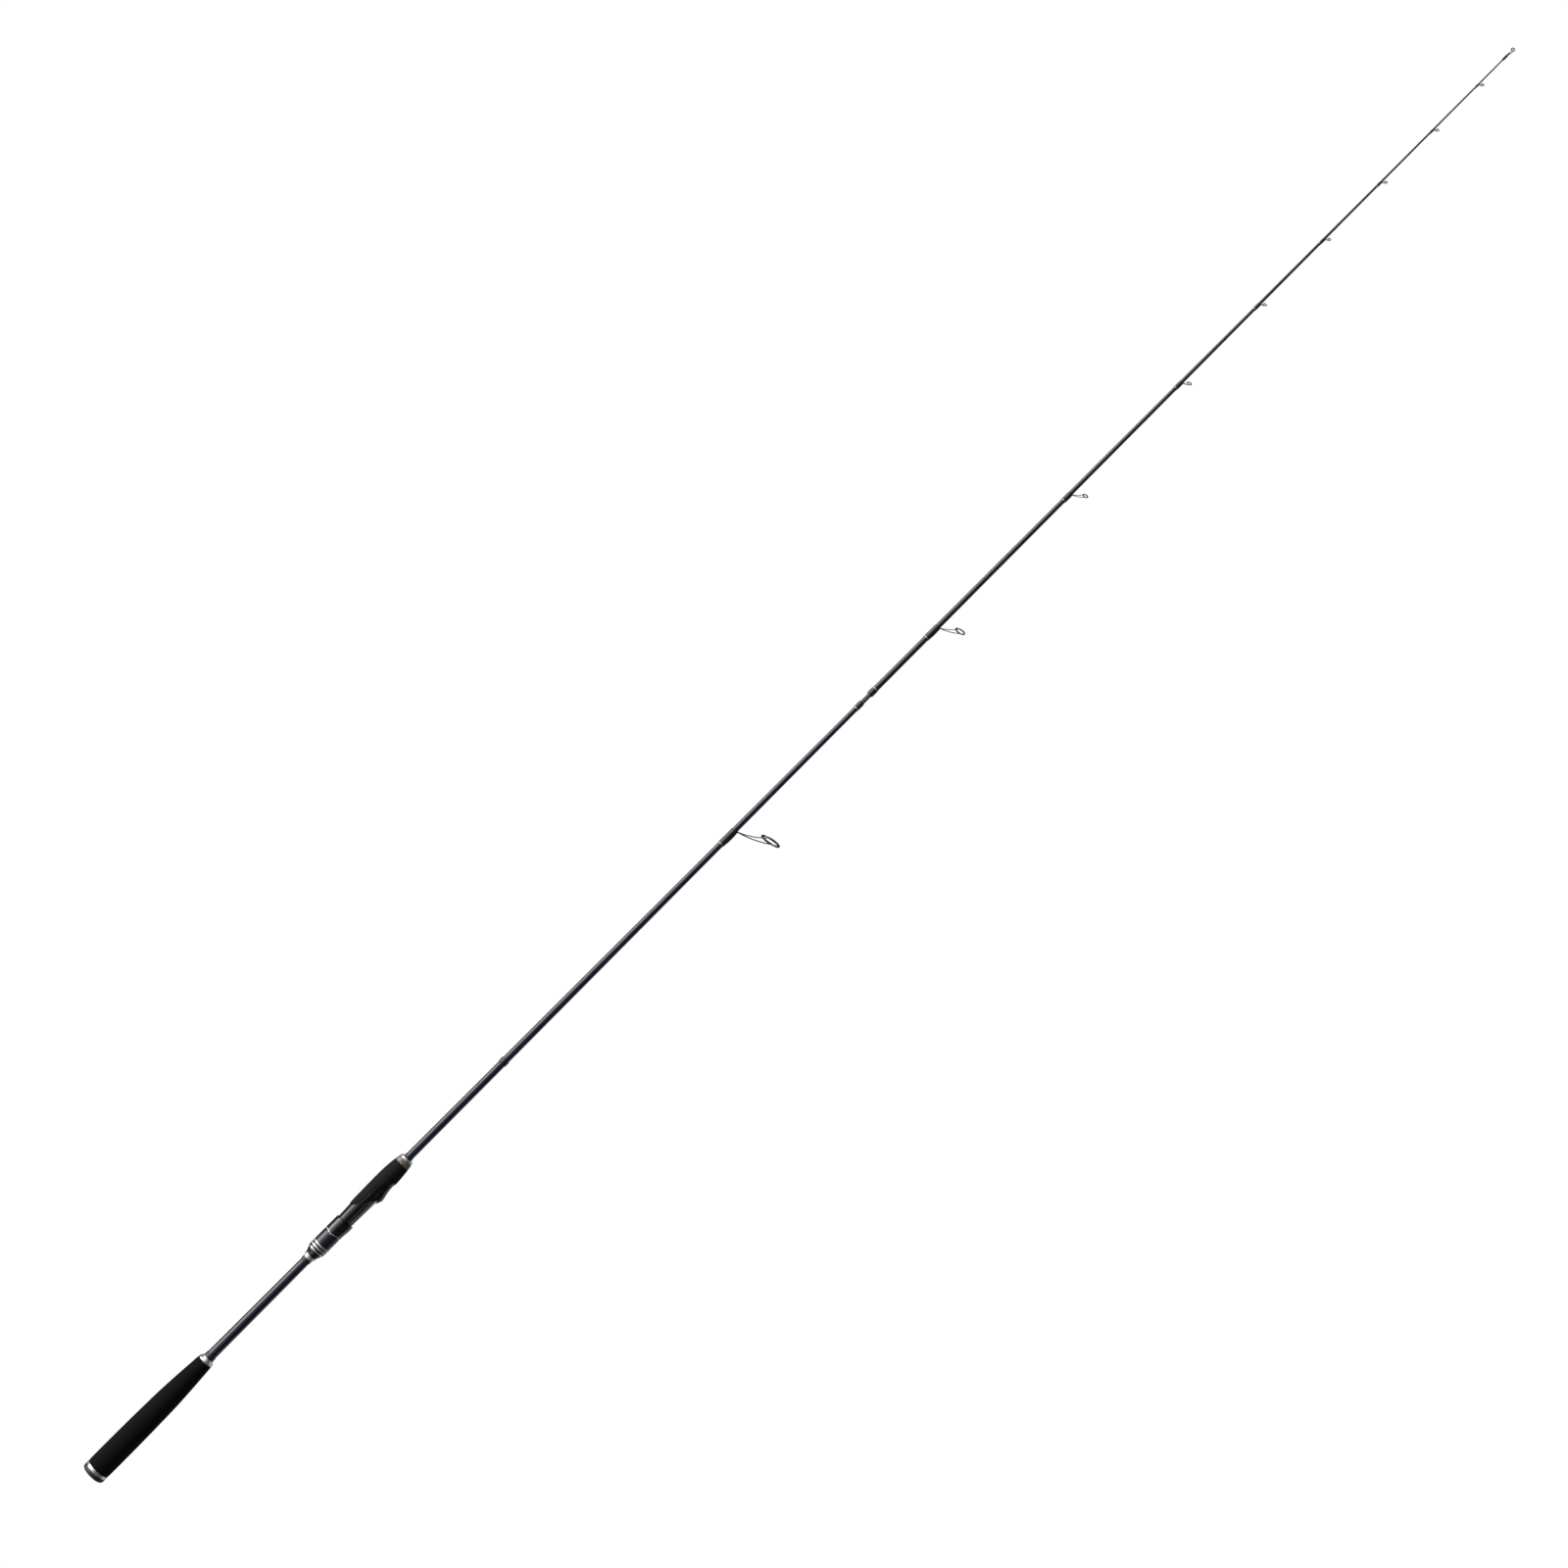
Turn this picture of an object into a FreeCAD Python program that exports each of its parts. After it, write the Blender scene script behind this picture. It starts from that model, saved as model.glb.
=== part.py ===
"""A two-piece spinning rod: butt section with reel seat and grips, and a tip section that plugs over it.

Millimetres. The rod's axis is +X from the butt end (the origin) to the tip, the guides and the reel hang
towards -Y, and +Z is up when the rod lies on its side.
"""
import FreeCAD, Part
import Sketcher
import math
import os

from FreeCAD import Placement, Rotation, Vector

DOC = FreeCAD.newDocument("spinning_rod")
SHEET = DOC.addObject("Spreadsheet::Sheet", "sizes")
NODES = []
OUTSIDE = 20  # further from the axis than any part of the seat
THROUGH = 60  # long enough to cut or fill right across the seat
# degrees that the rear grip's seam is turned away from the plane of the guides
SEAM_TURN = 10


# ---------------------------------------------------------------- sizes kept in the sheet

class Size:
    """A number that knows the sheet formula it comes from, so that features can be bound to it."""

    def __init__(self, value, formula):
        self.value = float(value)
        self.formula = formula

    def __add__(self, other):
        return combined(self, "+", other)

    def __radd__(self, other):
        return combined(other, "+", self)

    def __sub__(self, other):
        return combined(self, "-", other)

    def __rsub__(self, other):
        return combined(other, "-", self)

    def __mul__(self, other):
        return combined(self, "*", other)

    def __rmul__(self, other):
        return combined(other, "*", self)

    def __truediv__(self, other):
        return combined(self, "/", other)


def as_size(number):
    """Wraps a plain number."""
    if isinstance(number, Size):
        return number
    return Size(number, f"({float(number)!r})")


def combined(left, sign, right):
    """The Size that one sum, difference, product or quotient gives."""
    left = as_size(left)
    right = as_size(right)
    results = {
        "+": lambda: left.value + right.value,
        "-": lambda: left.value - right.value,
        "*": lambda: left.value * right.value,
        "/": lambda: left.value / right.value,
    }
    return Size(results[sign](), f"({left.formula} {sign} {right.formula})")


def sheet_sizes(rows):
    """Writes named cells to the sheet and returns them as Sizes."""
    sizes = {}
    for name, value in rows.items():
        sheet_sizes.row += 1
        SHEET.set(f"A{sheet_sizes.row}", name)
        SHEET.set(f"B{sheet_sizes.row}", str(value))
        SHEET.setAlias(f"B{sheet_sizes.row}", name)
        sizes[name] = Size(value, f"sizes.{name}")
    return sizes


sheet_sizes.row = 0

# Places along the axis, from the butt end.
AT = sheet_sizes({
    "cap_front": 5.7,
    "butt_ring_front": 9.6,
    "holder_land_start": 12.0,
    "holder_land_end": 62.0,
    "grip_middle": 118.0,
    "grip_neck": 141.0,
    "grip_front": 177.8,
    "grip_check_front": 183.4,
    "grip_wrap_front": 188.9,
    "seat_rear_wrap_start": 339.7,
    "rear_trim_start": 344.6,
    "rear_check_start": 347.3,
    "tail_cone_start": 349.6,
    "tail_ring_start": 357.2,
    "barrel_start": 359.0,
    "nut_start": 359.3,
    "hood_start": 385.0,
    "thread_end": 409.0,
    "shell_start": 425.0,
    "fixed_hood_mouth": 450.0,
    "shell_end": 480.0,
    "foregrip_front": 501.5,
    "composite_front": 508.4,
    "front_check_front": 511.4,
    "seat_front_wrap_end": 515.1,
    "blank_knee": 520.0,
    "band_start": 672.6,
    "band_end": 681.0,
    "ferrule_wrap_start": 1322.0,
    "ferrule_start": 1335.6,
    "tip_start": 1350.4,
    "tip_wrap_end": 1362.5,
    "ferrule_end": 1420.0,
    "tip_knee": 1995.0,
    "tip_fine_start": 2440.0,
    "tip_bore_end": 2300.0,
    "tip_end": 2729.0,
    "tip_wrap_start": 2714.8,
    "tip_tube_wrap_end": 2725.9,
    "tip_ring_centre": 2739.5,
})

# Outside radii of the blanks at the stations where their taper changes.
BLANK = sheet_sizes({
    "butt_end_radius": 6.65,
    "knee_radius": 5.1,
    "ferrule_radius": 3.3,
    "ferrule_tip_radius": 3.16,
    "butt_wall": 1.2,
    "ferrule_wall": 0.75,
    "tip_start_radius": 3.9,
    "tip_knee_radius": 2.46,
    "tip_fine_radius": 1.24,
    "tip_end_radius": 0.75,
    "tip_bore_radius": 0.6,
    "ferrule_clearance": 0.05,
})

GRIP = sheet_sizes({
    "cap_radius": 15.2,
    "cap_round": 2.2,
    "cap_plug_radius": 4.6,
    "cap_plug_length": 14.0,
    "butt_ring_radius": 15.1,
    "grip_radius": 15.3,
    "grip_middle_radius": 14.25,
    "grip_neck_radius": 12.95,
    "grip_front_radius": 10.3,
    "grip_check_radius": 10.0,
    "grip_check_tip_radius": 7.2,
    "thread_build": 0.65,
})

SEAT = sheet_sizes({
    "bore_radius": 6.1,
    "arbor_length": 22.0,
    "rear_wrap_radius": 6.35,
    "rear_trim_radius": 6.9,
    "rear_check_radius": 8.0,
    "tail_small_radius": 7.8,
    "tail_large_radius": 10.4,
    "tail_ring_radius": 11.4,
    "thread_root_radius": 9.9,
    "barrel_radius": 10.2,
    "running_gap": 0.15,
    "nut_radius": 11.6,
    "nut_length": 25.3,
    "nut_neck_length": 6.0,
    "nut_neck_radius": 10.8,
    "nut_ring_radius": 11.85,
    "nut_ring_width": 2.0,
    "nut_ring_first": 2.0,
    "nut_ring_step": 4.2,
    "hood_radius": 11.6,
    "hood_length": 20.0,
    "hood_skirt_depth": 6.4,
    "hood_travel": 17.5,
    "lip_radius": 12.6,
    "lip_reach": 2.0,
    "lip_half_width": 8.4,
    "pocket_radius": 11.5,
    "pocket_half_width": 7.2,
    "pocket_back_wall": 7.6,
    "hood_trim_radius": 11.8,
    "hood_trim_width": 1.6,
    "keyway_half_width": 1.6,
    "keyway_floor": 8.6,
    "key_gap": 0.15,
    "bed_floor": 9.5,
    "bed_pocket_half_width": 7.8,
    "bed_start": 389.0,
    "bed_pocket_depth": 14.0,
    "bed_pocket_ceiling": 13.9,
    "bed_pocket_inner_ceiling": 12.4,
    "pad_length": 16.0,
    "pad_half_width": 5.0,
    "pad_thickness": 0.4,
    "shell_radius": 11.7,
    "shell_end_radius": 12.4,
    "shell_core_radius": 9.2,
    "hump_radius": 15.0,
    "hump_peak": 453.0,
    "hump_foot": 467.6,
    "hump_foot_radius": 12.3,
    "hump_half_width": 9.0,
    "foregrip_front_radius": 10.9,
    "composite_rear_radius": 10.7,
    "composite_front_radius": 9.5,
    "front_check_radius": 8.8,
    "front_wrap_radius": 5.85,
})

GUIDE = sheet_sizes({
    "ring_lean": 12.0,
    "foot_thickness": 0.55,
    "foot_half_width": 1.1,
    "wrap_build": 0.8,
    "small_wrap_build": 0.7,
    "tip_frame_radius": 3.2,
    "tip_tube_radius": 1.3,
    "tip_wrap_build": 0.25,
})

# Each guide, butt to tip: the winding's start, the leg root, the ring's centre and height, and the frame
# ring's outside radius.
GUIDE_ROWS = [
    (1066.0, 1093.0, 1114.0, 45.0, 14.05),
    (1460.0, 1484.0, 1499.0, 27.0, 7.6),
    (1737.0, 1753.0, 1764.0, 17.6, 4.3),
    (1973.0, 1987.0, 1993.0, 9.7, 3.6),
    (2144.0, 2157.0, 2161.0, 6.6, 2.8),
    (2289.0, 2301.0, 2305.0, 5.8, 2.7),
    (2419.0, 2430.0, 2434.0, 5.4, 2.6),
    (2540.0, 2550.5, 2554.0, 5.1, 2.6),
    (2647.0, 2656.4, 2660.0, 4.9, 2.6),
]


# ---------------------------------------------------------------- helpers

def origin_plane(body, role):
    """The body's own origin plane with that role."""
    for feature in body.Origin.OriginFeatures:
        if feature.Role == role:
            return feature
    raise RuntimeError(f"{body.Label} has no {role}")


def new_body(label, node=True):
    """A PartDesign body; node says that it is a piece of the rod and gets a file."""
    body = DOC.addObject("PartDesign::Body", label)
    body.Label = label
    if node:
        NODES.append(body)
    return body


def new_sketch(body, name, role="XY_Plane"):
    """A sketch on one of the body's own origin planes."""
    sketch = body.newObject("Sketcher::SketchObject", name)
    sketch.AttachmentSupport = (origin_plane(body, role), [""])
    sketch.MapMode = "FlatFace"
    return sketch


def bind(sketch, kind, where, size):
    """Adds one dimension to a sketch and binds it to its formula."""
    number = sketch.addConstraint(Sketcher.Constraint(kind, *where, size.value))
    sketch.setExpression(f"Constraints[{number}]", size.formula)


def pin_point(sketch, geometry, point, along, across):
    """Fixes a sketch point at its two distances from the origin."""
    bind(sketch, "DistanceX", (-1, 1, geometry, point), as_size(along))
    bind(sketch, "DistanceY", (-1, 1, geometry, point), as_size(across))


def shallow_arc(start, end, bulge):
    """The arc between two points whose crown stands bulge off the chord, left of the way; and its crown."""
    chord = end - start
    half = chord.Length / 2
    left = Vector(-chord.y, chord.x, 0).normalize()
    crown = (start + end) * 0.5 + left * bulge
    radius = (half * half + bulge * bulge) / (2 * abs(bulge))
    centre = crown - left * math.copysign(radius, bulge)
    first, last = (end, start) if bulge > 0 else (start, end)
    angles = [math.atan2(spot.y - centre.y, spot.x - centre.x) for spot in (first, last)]
    circle = Part.Circle(centre, Vector(0, 0, 1), radius)
    return Part.ArcOfCircle(circle, *angles), crown


def closed_outline(sketch, corners):
    """Draws a closed outline through corners.

    A corner is (along, across) or (along, across, bulge): bulge makes the side that leaves the corner an
    arc that stands that far to the left of its chord.
    """
    spots = [Vector(as_size(c[0]).value, as_size(c[1]).value, 0) for c in corners]
    ends = []
    for number, corner in enumerate(corners):
        start = spots[number]
        end = spots[(number + 1) % len(spots)]
        if len(corner) == 2:
            geometry = sketch.addGeometry(Part.LineSegment(start, end))
            ends.append((geometry, 1, 2))
            continue
        arc, crown = shallow_arc(start, end, corner[2])
        geometry = sketch.addGeometry(arc)
        ends.append((geometry, 2, 1) if corner[2] > 0 else (geometry, 1, 2))
        mark = sketch.addGeometry(Part.Point(crown), True)
        sketch.addConstraint(Sketcher.Constraint("PointOnObject", mark, 1, geometry))
        pin_point(sketch, mark, 1, crown.x, crown.y)
    for number, corner in enumerate(corners):
        geometry, first, last = ends[number]
        after, after_first, _ = ends[(number + 1) % len(ends)]
        sketch.addConstraint(Sketcher.Constraint("Coincident", geometry, last, after, after_first))
        pin_point(sketch, geometry, first, corner[0], corner[1])


def turned(label, corners, node=True):
    """A piece turned about the rod's axis from a closed outline of (along, radius) corners."""
    body = new_body(label, node)
    sketch = new_sketch(body, label + "_outline")
    closed_outline(sketch, corners)
    feature = body.newObject("PartDesign::Revolution", label + "_turned")
    feature.Profile = sketch
    feature.ReferenceAxis = (sketch, ["H_Axis"])
    feature.Angle = 360
    sketch.Visibility = False
    return body


def pocket(body, name, corners, half_width):
    """Cuts a side-view outline through the body, half_width to each side of its middle plane."""
    sketch = new_sketch(body, name + "_outline")
    closed_outline(sketch, corners)
    feature = body.newObject("PartDesign::Pocket", name)
    feature.Profile = sketch
    feature.Midplane = True
    feature.setExpression("Length", as_size(half_width * 2).formula)
    feature.Length = (half_width * 2).value
    return feature


def box(along_start, along_end, low, high):
    """Corners of a rectangle in side view."""
    return [(along_start, low), (along_end, low), (along_end, high), (along_start, high)]


def through_cut(body, name, sketch):
    """Cuts the sketch's outline right through the body, both ways from its plane."""
    cut = body.newObject("PartDesign::Pocket", name)
    cut.Profile = sketch
    cut.Midplane = True
    cut.Length = THROUGH


def lower_strip(body, name, start, end, half_width, floor=as_size(0)):
    """Leaves of a turned body only what is below floor on the guides' side and within half_width of the axis."""
    for side, place in ((1, "above"), (-1, "below")):
        flank = new_sketch(body, f"{name}_flank_{place}", "XZ_Plane")
        closed_outline(flank, box(start, end, half_width * side, as_size(OUTSIDE * side)))
        through_cut(body, f"{name}_cut_{place}", flank)
    back = new_sketch(body, f"{name}_back_outline")
    closed_outline(back, box(start, end, floor, as_size(OUTSIDE)))
    through_cut(body, f"{name}_back_cut", back)


def boolean(kind, label, base, tool, node=True):
    """A Part boolean of two objects."""
    result = DOC.addObject(kind, label)
    result.Base = base
    result.Tool = tool
    result.Label = label
    if node:
        NODES.append(result)
    return result


def between(place, start, end, start_radius, end_radius):
    """The radius at a place on a straight taper."""
    return start_radius + (end_radius - start_radius) * ((place - start) / (end - start))


def blank_radius(place):
    """The blank's outside radius at a place along the rod; at the ferrule it is the front tube's."""
    place = as_size(place)
    stretches = [
        (AT["cap_front"], AT["blank_knee"], BLANK["butt_end_radius"], BLANK["knee_radius"]),
        (AT["blank_knee"], AT["ferrule_start"], BLANK["knee_radius"], BLANK["ferrule_radius"]),
        (AT["ferrule_start"], AT["tip_start"], BLANK["ferrule_radius"], BLANK["ferrule_tip_radius"]),
        (AT["tip_start"], AT["tip_knee"], BLANK["tip_start_radius"], BLANK["tip_knee_radius"]),
        (AT["tip_knee"], AT["tip_fine_start"], BLANK["tip_knee_radius"], BLANK["tip_fine_radius"]),
        (AT["tip_fine_start"], AT["tip_end"], BLANK["tip_fine_radius"], BLANK["tip_end_radius"]),
    ]
    for start, end, start_radius, end_radius in stretches:
        if place.value < end.value or end is AT["tip_end"]:
            return between(place, start, end, start_radius, end_radius)


def sleeve(label, start, end, rear_radius, front_radius):
    """A plain or tapered ring that fits the blank."""
    return turned(label, [
        (start, blank_radius(start)),
        (start, rear_radius),
        (end, front_radius),
        (end, blank_radius(end)),
    ])


def winding(label, start, end, build):
    """A thread winding: a sleeve of even thickness with its ends sloped down to the blank."""
    slope = as_size(0.8)
    edge = build * 0.3
    return turned(label, [
        (start, blank_radius(start)),
        (start, blank_radius(start) + edge),
        (start + slope, blank_radius(start) + build),
        (end - slope, blank_radius(end) + build),
        (end, blank_radius(end) + edge),
        (end, blank_radius(end)),
    ])


# ---------------------------------------------------------------- blanks and ferrule

def make_blanks():
    """The two tubes. The tip section's bore follows the butt section's tapered end."""
    male_tip = BLANK["ferrule_tip_radius"] - 0.06
    wall = BLANK["butt_wall"]
    turned("butt_blank", [
        (AT["cap_front"], BLANK["butt_end_radius"] - wall),
        (AT["cap_front"], BLANK["butt_end_radius"]),
        (AT["blank_knee"], BLANK["knee_radius"]),
        (AT["ferrule_start"], BLANK["ferrule_radius"]),
        (AT["tip_start"], BLANK["ferrule_tip_radius"]),
        (AT["ferrule_end"], male_tip),
        (AT["ferrule_end"], male_tip - BLANK["ferrule_wall"]),
        (AT["ferrule_start"], BLANK["ferrule_radius"] - BLANK["ferrule_wall"]),
        (AT["blank_knee"], BLANK["knee_radius"] - wall),
    ])
    gap = BLANK["ferrule_clearance"]
    turned("tip_blank", [
        (AT["tip_start"], BLANK["ferrule_tip_radius"] + gap),
        (AT["tip_start"], BLANK["tip_start_radius"]),
        (AT["tip_knee"], BLANK["tip_knee_radius"]),
        (AT["tip_fine_start"], BLANK["tip_fine_radius"]),
        (AT["tip_end"], BLANK["tip_end_radius"]),
        (AT["tip_end"], 0),
        (AT["tip_bore_end"], 0),
        (AT["tip_bore_end"], BLANK["tip_bore_radius"]),
        (AT["ferrule_end"] + 3, male_tip + gap - 0.4),
        (AT["ferrule_end"] + 3, male_tip + gap),
        (AT["ferrule_end"], male_tip + gap),
    ])
    winding("ferrule_wrap_butt", AT["ferrule_wrap_start"], AT["ferrule_start"], as_size(0.5))
    winding("ferrule_wrap_tip", AT["tip_start"], AT["tip_wrap_end"], as_size(0.45))
    winding("thread_band", AT["band_start"], AT["band_end"], as_size(0.6))


# ---------------------------------------------------------------- grips

def make_rear_grip():
    """Butt cap, its metal ring, the foam rear grip and the metal check that closes it."""
    cap = GRIP["cap_radius"]
    edge = GRIP["cap_round"]
    plug_end = AT["cap_front"] + GRIP["cap_plug_length"]
    turned("butt_cap", [
        (0, 0),
        (0, cap - edge, 0.64),
        (edge, cap),
        (AT["cap_front"], cap),
        (AT["cap_front"], GRIP["cap_plug_radius"]),
        (plug_end, GRIP["cap_plug_radius"]),
        (plug_end, 0),
    ])
    sleeve("butt_ring", AT["cap_front"], AT["butt_ring_front"],
           GRIP["butt_ring_radius"], GRIP["butt_ring_radius"])
    grip = turned("rear_grip", [
        (AT["butt_ring_front"], blank_radius(AT["butt_ring_front"])),
        (AT["butt_ring_front"], GRIP["grip_radius"] - 0.3),
        (AT["holder_land_start"], GRIP["grip_radius"]),
        (AT["holder_land_end"], GRIP["grip_radius"]),
        (AT["grip_middle"], GRIP["grip_middle_radius"]),
        (AT["grip_neck"], GRIP["grip_neck_radius"]),
        (AT["grip_front"], GRIP["grip_front_radius"]),
        (AT["grip_front"], blank_radius(AT["grip_front"])),
    ])
    grip.Placement = Placement(Vector(0, 0, 0), Rotation(Vector(1, 0, 0), SEAM_TURN))
    sleeve("rear_grip_check", AT["grip_front"], AT["grip_check_front"],
           GRIP["grip_check_radius"], GRIP["grip_check_tip_radius"])
    winding("rear_grip_wrap", AT["grip_check_front"], AT["grip_wrap_front"], GRIP["thread_build"])


# ---------------------------------------------------------------- reel seat

def make_seat_rear():
    """What closes the seat at its back: winding, trim, check, tail cone and its metal edge."""
    sleeve("seat_rear_wrap", AT["seat_rear_wrap_start"], AT["rear_trim_start"],
           SEAT["rear_wrap_radius"], SEAT["rear_wrap_radius"])
    sleeve("seat_rear_trim", AT["rear_trim_start"], AT["rear_check_start"],
           SEAT["rear_trim_radius"], SEAT["rear_trim_radius"])
    sleeve("seat_rear_check", AT["rear_check_start"], AT["tail_cone_start"],
           SEAT["rear_check_radius"], SEAT["rear_check_radius"])
    sleeve("seat_tail_cone", AT["tail_cone_start"], AT["tail_ring_start"],
           SEAT["tail_small_radius"], SEAT["tail_large_radius"])
    turned("seat_tail_ring", [
        (AT["tail_ring_start"], SEAT["bore_radius"]),
        (AT["tail_ring_start"], SEAT["tail_ring_radius"] - 0.5),
        (AT["tail_ring_start"] + 0.5, SEAT["tail_ring_radius"]),
        (AT["barrel_start"], SEAT["tail_ring_radius"]),
        (AT["barrel_start"], SEAT["bore_radius"]),
    ])
    for label, start in (("seat_arbor_rear", AT["barrel_start"]),
                         ("seat_arbor_front", AT["shell_end"] - SEAT["arbor_length"])):
        end = start + SEAT["arbor_length"]
        turned(label, [
            (start, blank_radius(start)),
            (start, SEAT["bore_radius"]),
            (end, SEAT["bore_radius"]),
            (end, blank_radius(end)),
        ])


def foregrip_region():
    """A block whose lower edge, in side view, is the line where the foam meets the seat shell."""
    body = new_body("foregrip_region", node=False)
    sketch = new_sketch(body, "foregrip_region_outline")
    top = 20
    closed_outline(sketch, [
        (AT["shell_start"], top),
        (AT["shell_start"], 11.0, -1.2),
        (AT["shell_start"] + 8, -1.2),
        (AT["fixed_hood_mouth"] + 7, -2.2, 1.6),
        (AT["shell_end"], -13.2),
        (AT["shell_end"], -top),
        (AT["foregrip_front"] + 10, -top),
        (AT["foregrip_front"] + 10, top),
    ])
    block = body.newObject("PartDesign::Pad", "foregrip_region_block")
    block.Profile = sketch
    block.Midplane = True
    block.Length = THROUGH
    return body


def make_seat_body(region):
    """The seat's one-piece moulding: threaded barrel, foot bed and fixed hood."""
    bore = SEAT["bore_radius"]
    core = turned("seat_core", [
        (AT["barrel_start"], bore),
        (AT["barrel_start"], SEAT["thread_root_radius"]),
        (AT["thread_end"], SEAT["thread_root_radius"]),
        (AT["thread_end"], SEAT["barrel_radius"]),
        (AT["shell_start"], SEAT["barrel_radius"]),
        (AT["shell_start"], SEAT["shell_core_radius"]),
        (AT["shell_end"], SEAT["shell_core_radius"]),
        (AT["shell_end"], bore),
    ], node=False)
    shell = turned("seat_shell", [
        (AT["shell_start"], SEAT["shell_core_radius"] - 0.5),
        (AT["shell_start"], SEAT["shell_radius"]),
        (SEAT["hump_foot"], SEAT["shell_radius"]),
        (AT["shell_end"], SEAT["shell_end_radius"]),
        (AT["shell_end"], SEAT["shell_core_radius"] - 0.5),
    ], node=False)
    hump = turned("fixed_hood_hump", [
        (AT["fixed_hood_mouth"], SEAT["shell_core_radius"]),
        (AT["fixed_hood_mouth"], SEAT["hump_radius"] - 1.2),
        (SEAT["hump_peak"], SEAT["hump_radius"]),
        (SEAT["hump_peak"] + 6, SEAT["hump_radius"] - 0.6),
        (SEAT["hump_foot"], SEAT["hump_foot_radius"]),
        (SEAT["hump_foot"], SEAT["shell_core_radius"]),
    ], node=False)
    lower_strip(hump, "hump", AT["fixed_hood_mouth"] - 5, SEAT["hump_foot"] + 5, SEAT["hump_half_width"])
    skin = boolean("Part::Cut", "seat_skin", shell, region, node=False)
    hood = boolean("Part::Cut", "hood_skin", hump, region, node=False)
    joined = DOC.addObject("Part::MultiFuse", "seat_joined")
    joined.Shapes = [core, skin, hood]
    bed = new_body("foot_bed_space", node=False)
    bed_sketch = new_sketch(bed, "foot_bed_outline")
    floor = SEAT["bed_floor"] * -1
    mouth = AT["fixed_hood_mouth"]
    closed_outline(bed_sketch, box(SEAT["bed_start"], mouth, as_size(-OUTSIDE), floor))
    bed_block = bed.newObject("PartDesign::Pad", "foot_bed_block")
    bed_block.Profile = bed_sketch
    bed_block.Midplane = True
    bed_block.Length = THROUGH
    flattened = boolean("Part::Cut", "seat_flattened", joined, bed, node=False)
    pocket_end = mouth + SEAT["bed_pocket_depth"]
    space = turned("fixed_pocket_space", [
        (mouth - 1, 0),
        (mouth - 1, SEAT["bed_pocket_ceiling"]),
        (mouth + 8, SEAT["bed_pocket_ceiling"]),
        (pocket_end, SEAT["bed_pocket_inner_ceiling"]),
        (pocket_end, 0),
    ], node=False)
    lower_strip(space, "fixed_pocket", mouth - 5, pocket_end + 5, SEAT["bed_pocket_half_width"], floor)
    bedded = boolean("Part::Cut", "seat_bedded", flattened, space, node=False)
    keyway = DOC.addObject("Part::Box", "keyway_space")
    keyway.setExpression("Length", (AT["shell_start"] - SEAT["bed_start"]).formula)
    keyway.setExpression("Height", (SEAT["keyway_half_width"] * 2).formula)
    keyway.Width = 5
    keyway.setExpression("Placement.Base.x", SEAT["bed_start"].formula)
    keyway.setExpression("Placement.Base.y", SEAT["keyway_floor"].formula)
    keyway.setExpression("Placement.Base.z", (SEAT["keyway_half_width"] * -1).formula)
    boolean("Part::Cut", "seat_body", bedded, keyway)


def make_seat_pad():
    """The thin pad that lies in the foot bed just behind the fixed hood."""
    body = new_body("foot_bed_pad")
    sketch = new_sketch(body, "foot_bed_pad_outline")
    floor = SEAT["bed_floor"] * -1
    end = AT["fixed_hood_mouth"] - 1
    closed_outline(sketch, box(end - SEAT["pad_length"], end, floor - SEAT["pad_thickness"], floor))
    block = body.newObject("PartDesign::Pad", "foot_bed_pad_block")
    block.Profile = sketch
    block.Midplane = True
    block.setExpression("Length", (SEAT["pad_half_width"] * 2).formula)


def make_lock_nut():
    """The nut with its two inlaid metal rings; its neck turns inside the hood's skirt."""
    start = AT["nut_start"]
    front = start + SEAT["nut_length"]
    bore = SEAT["barrel_radius"] + SEAT["running_gap"]
    outside = SEAT["nut_radius"]
    floor = outside - 0.5
    first = start + SEAT["nut_ring_first"]
    second = first + SEAT["nut_ring_step"]
    width = SEAT["nut_ring_width"]
    turned("lock_nut", [
        (start, bore),
        (start, outside - 0.4),
        (start + 0.6, outside),
        (first, outside),
        (first, floor),
        (first + width, floor),
        (first + width, outside),
        (second, outside),
        (second, floor),
        (second + width, floor),
        (second + width, outside),
        (front - 0.5, outside),
        (front, outside - 0.5),
        (front, SEAT["nut_neck_radius"]),
        (front + SEAT["nut_neck_length"], SEAT["nut_neck_radius"]),
        (front + SEAT["nut_neck_length"], bore),
    ])
    rings = []
    for number, place in enumerate((first, second), 1):
        rings.append(turned(f"nut_ring_{number}", [
            (place, floor),
            (place, SEAT["nut_ring_radius"]),
            (place + width, SEAT["nut_ring_radius"]),
            (place + width, floor),
        ], node=False))
    pair = DOC.addObject("Part::Compound", "nut_rings")
    pair.Links = rings
    pair.Label = "nut_rings"
    NODES.append(pair)


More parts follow.
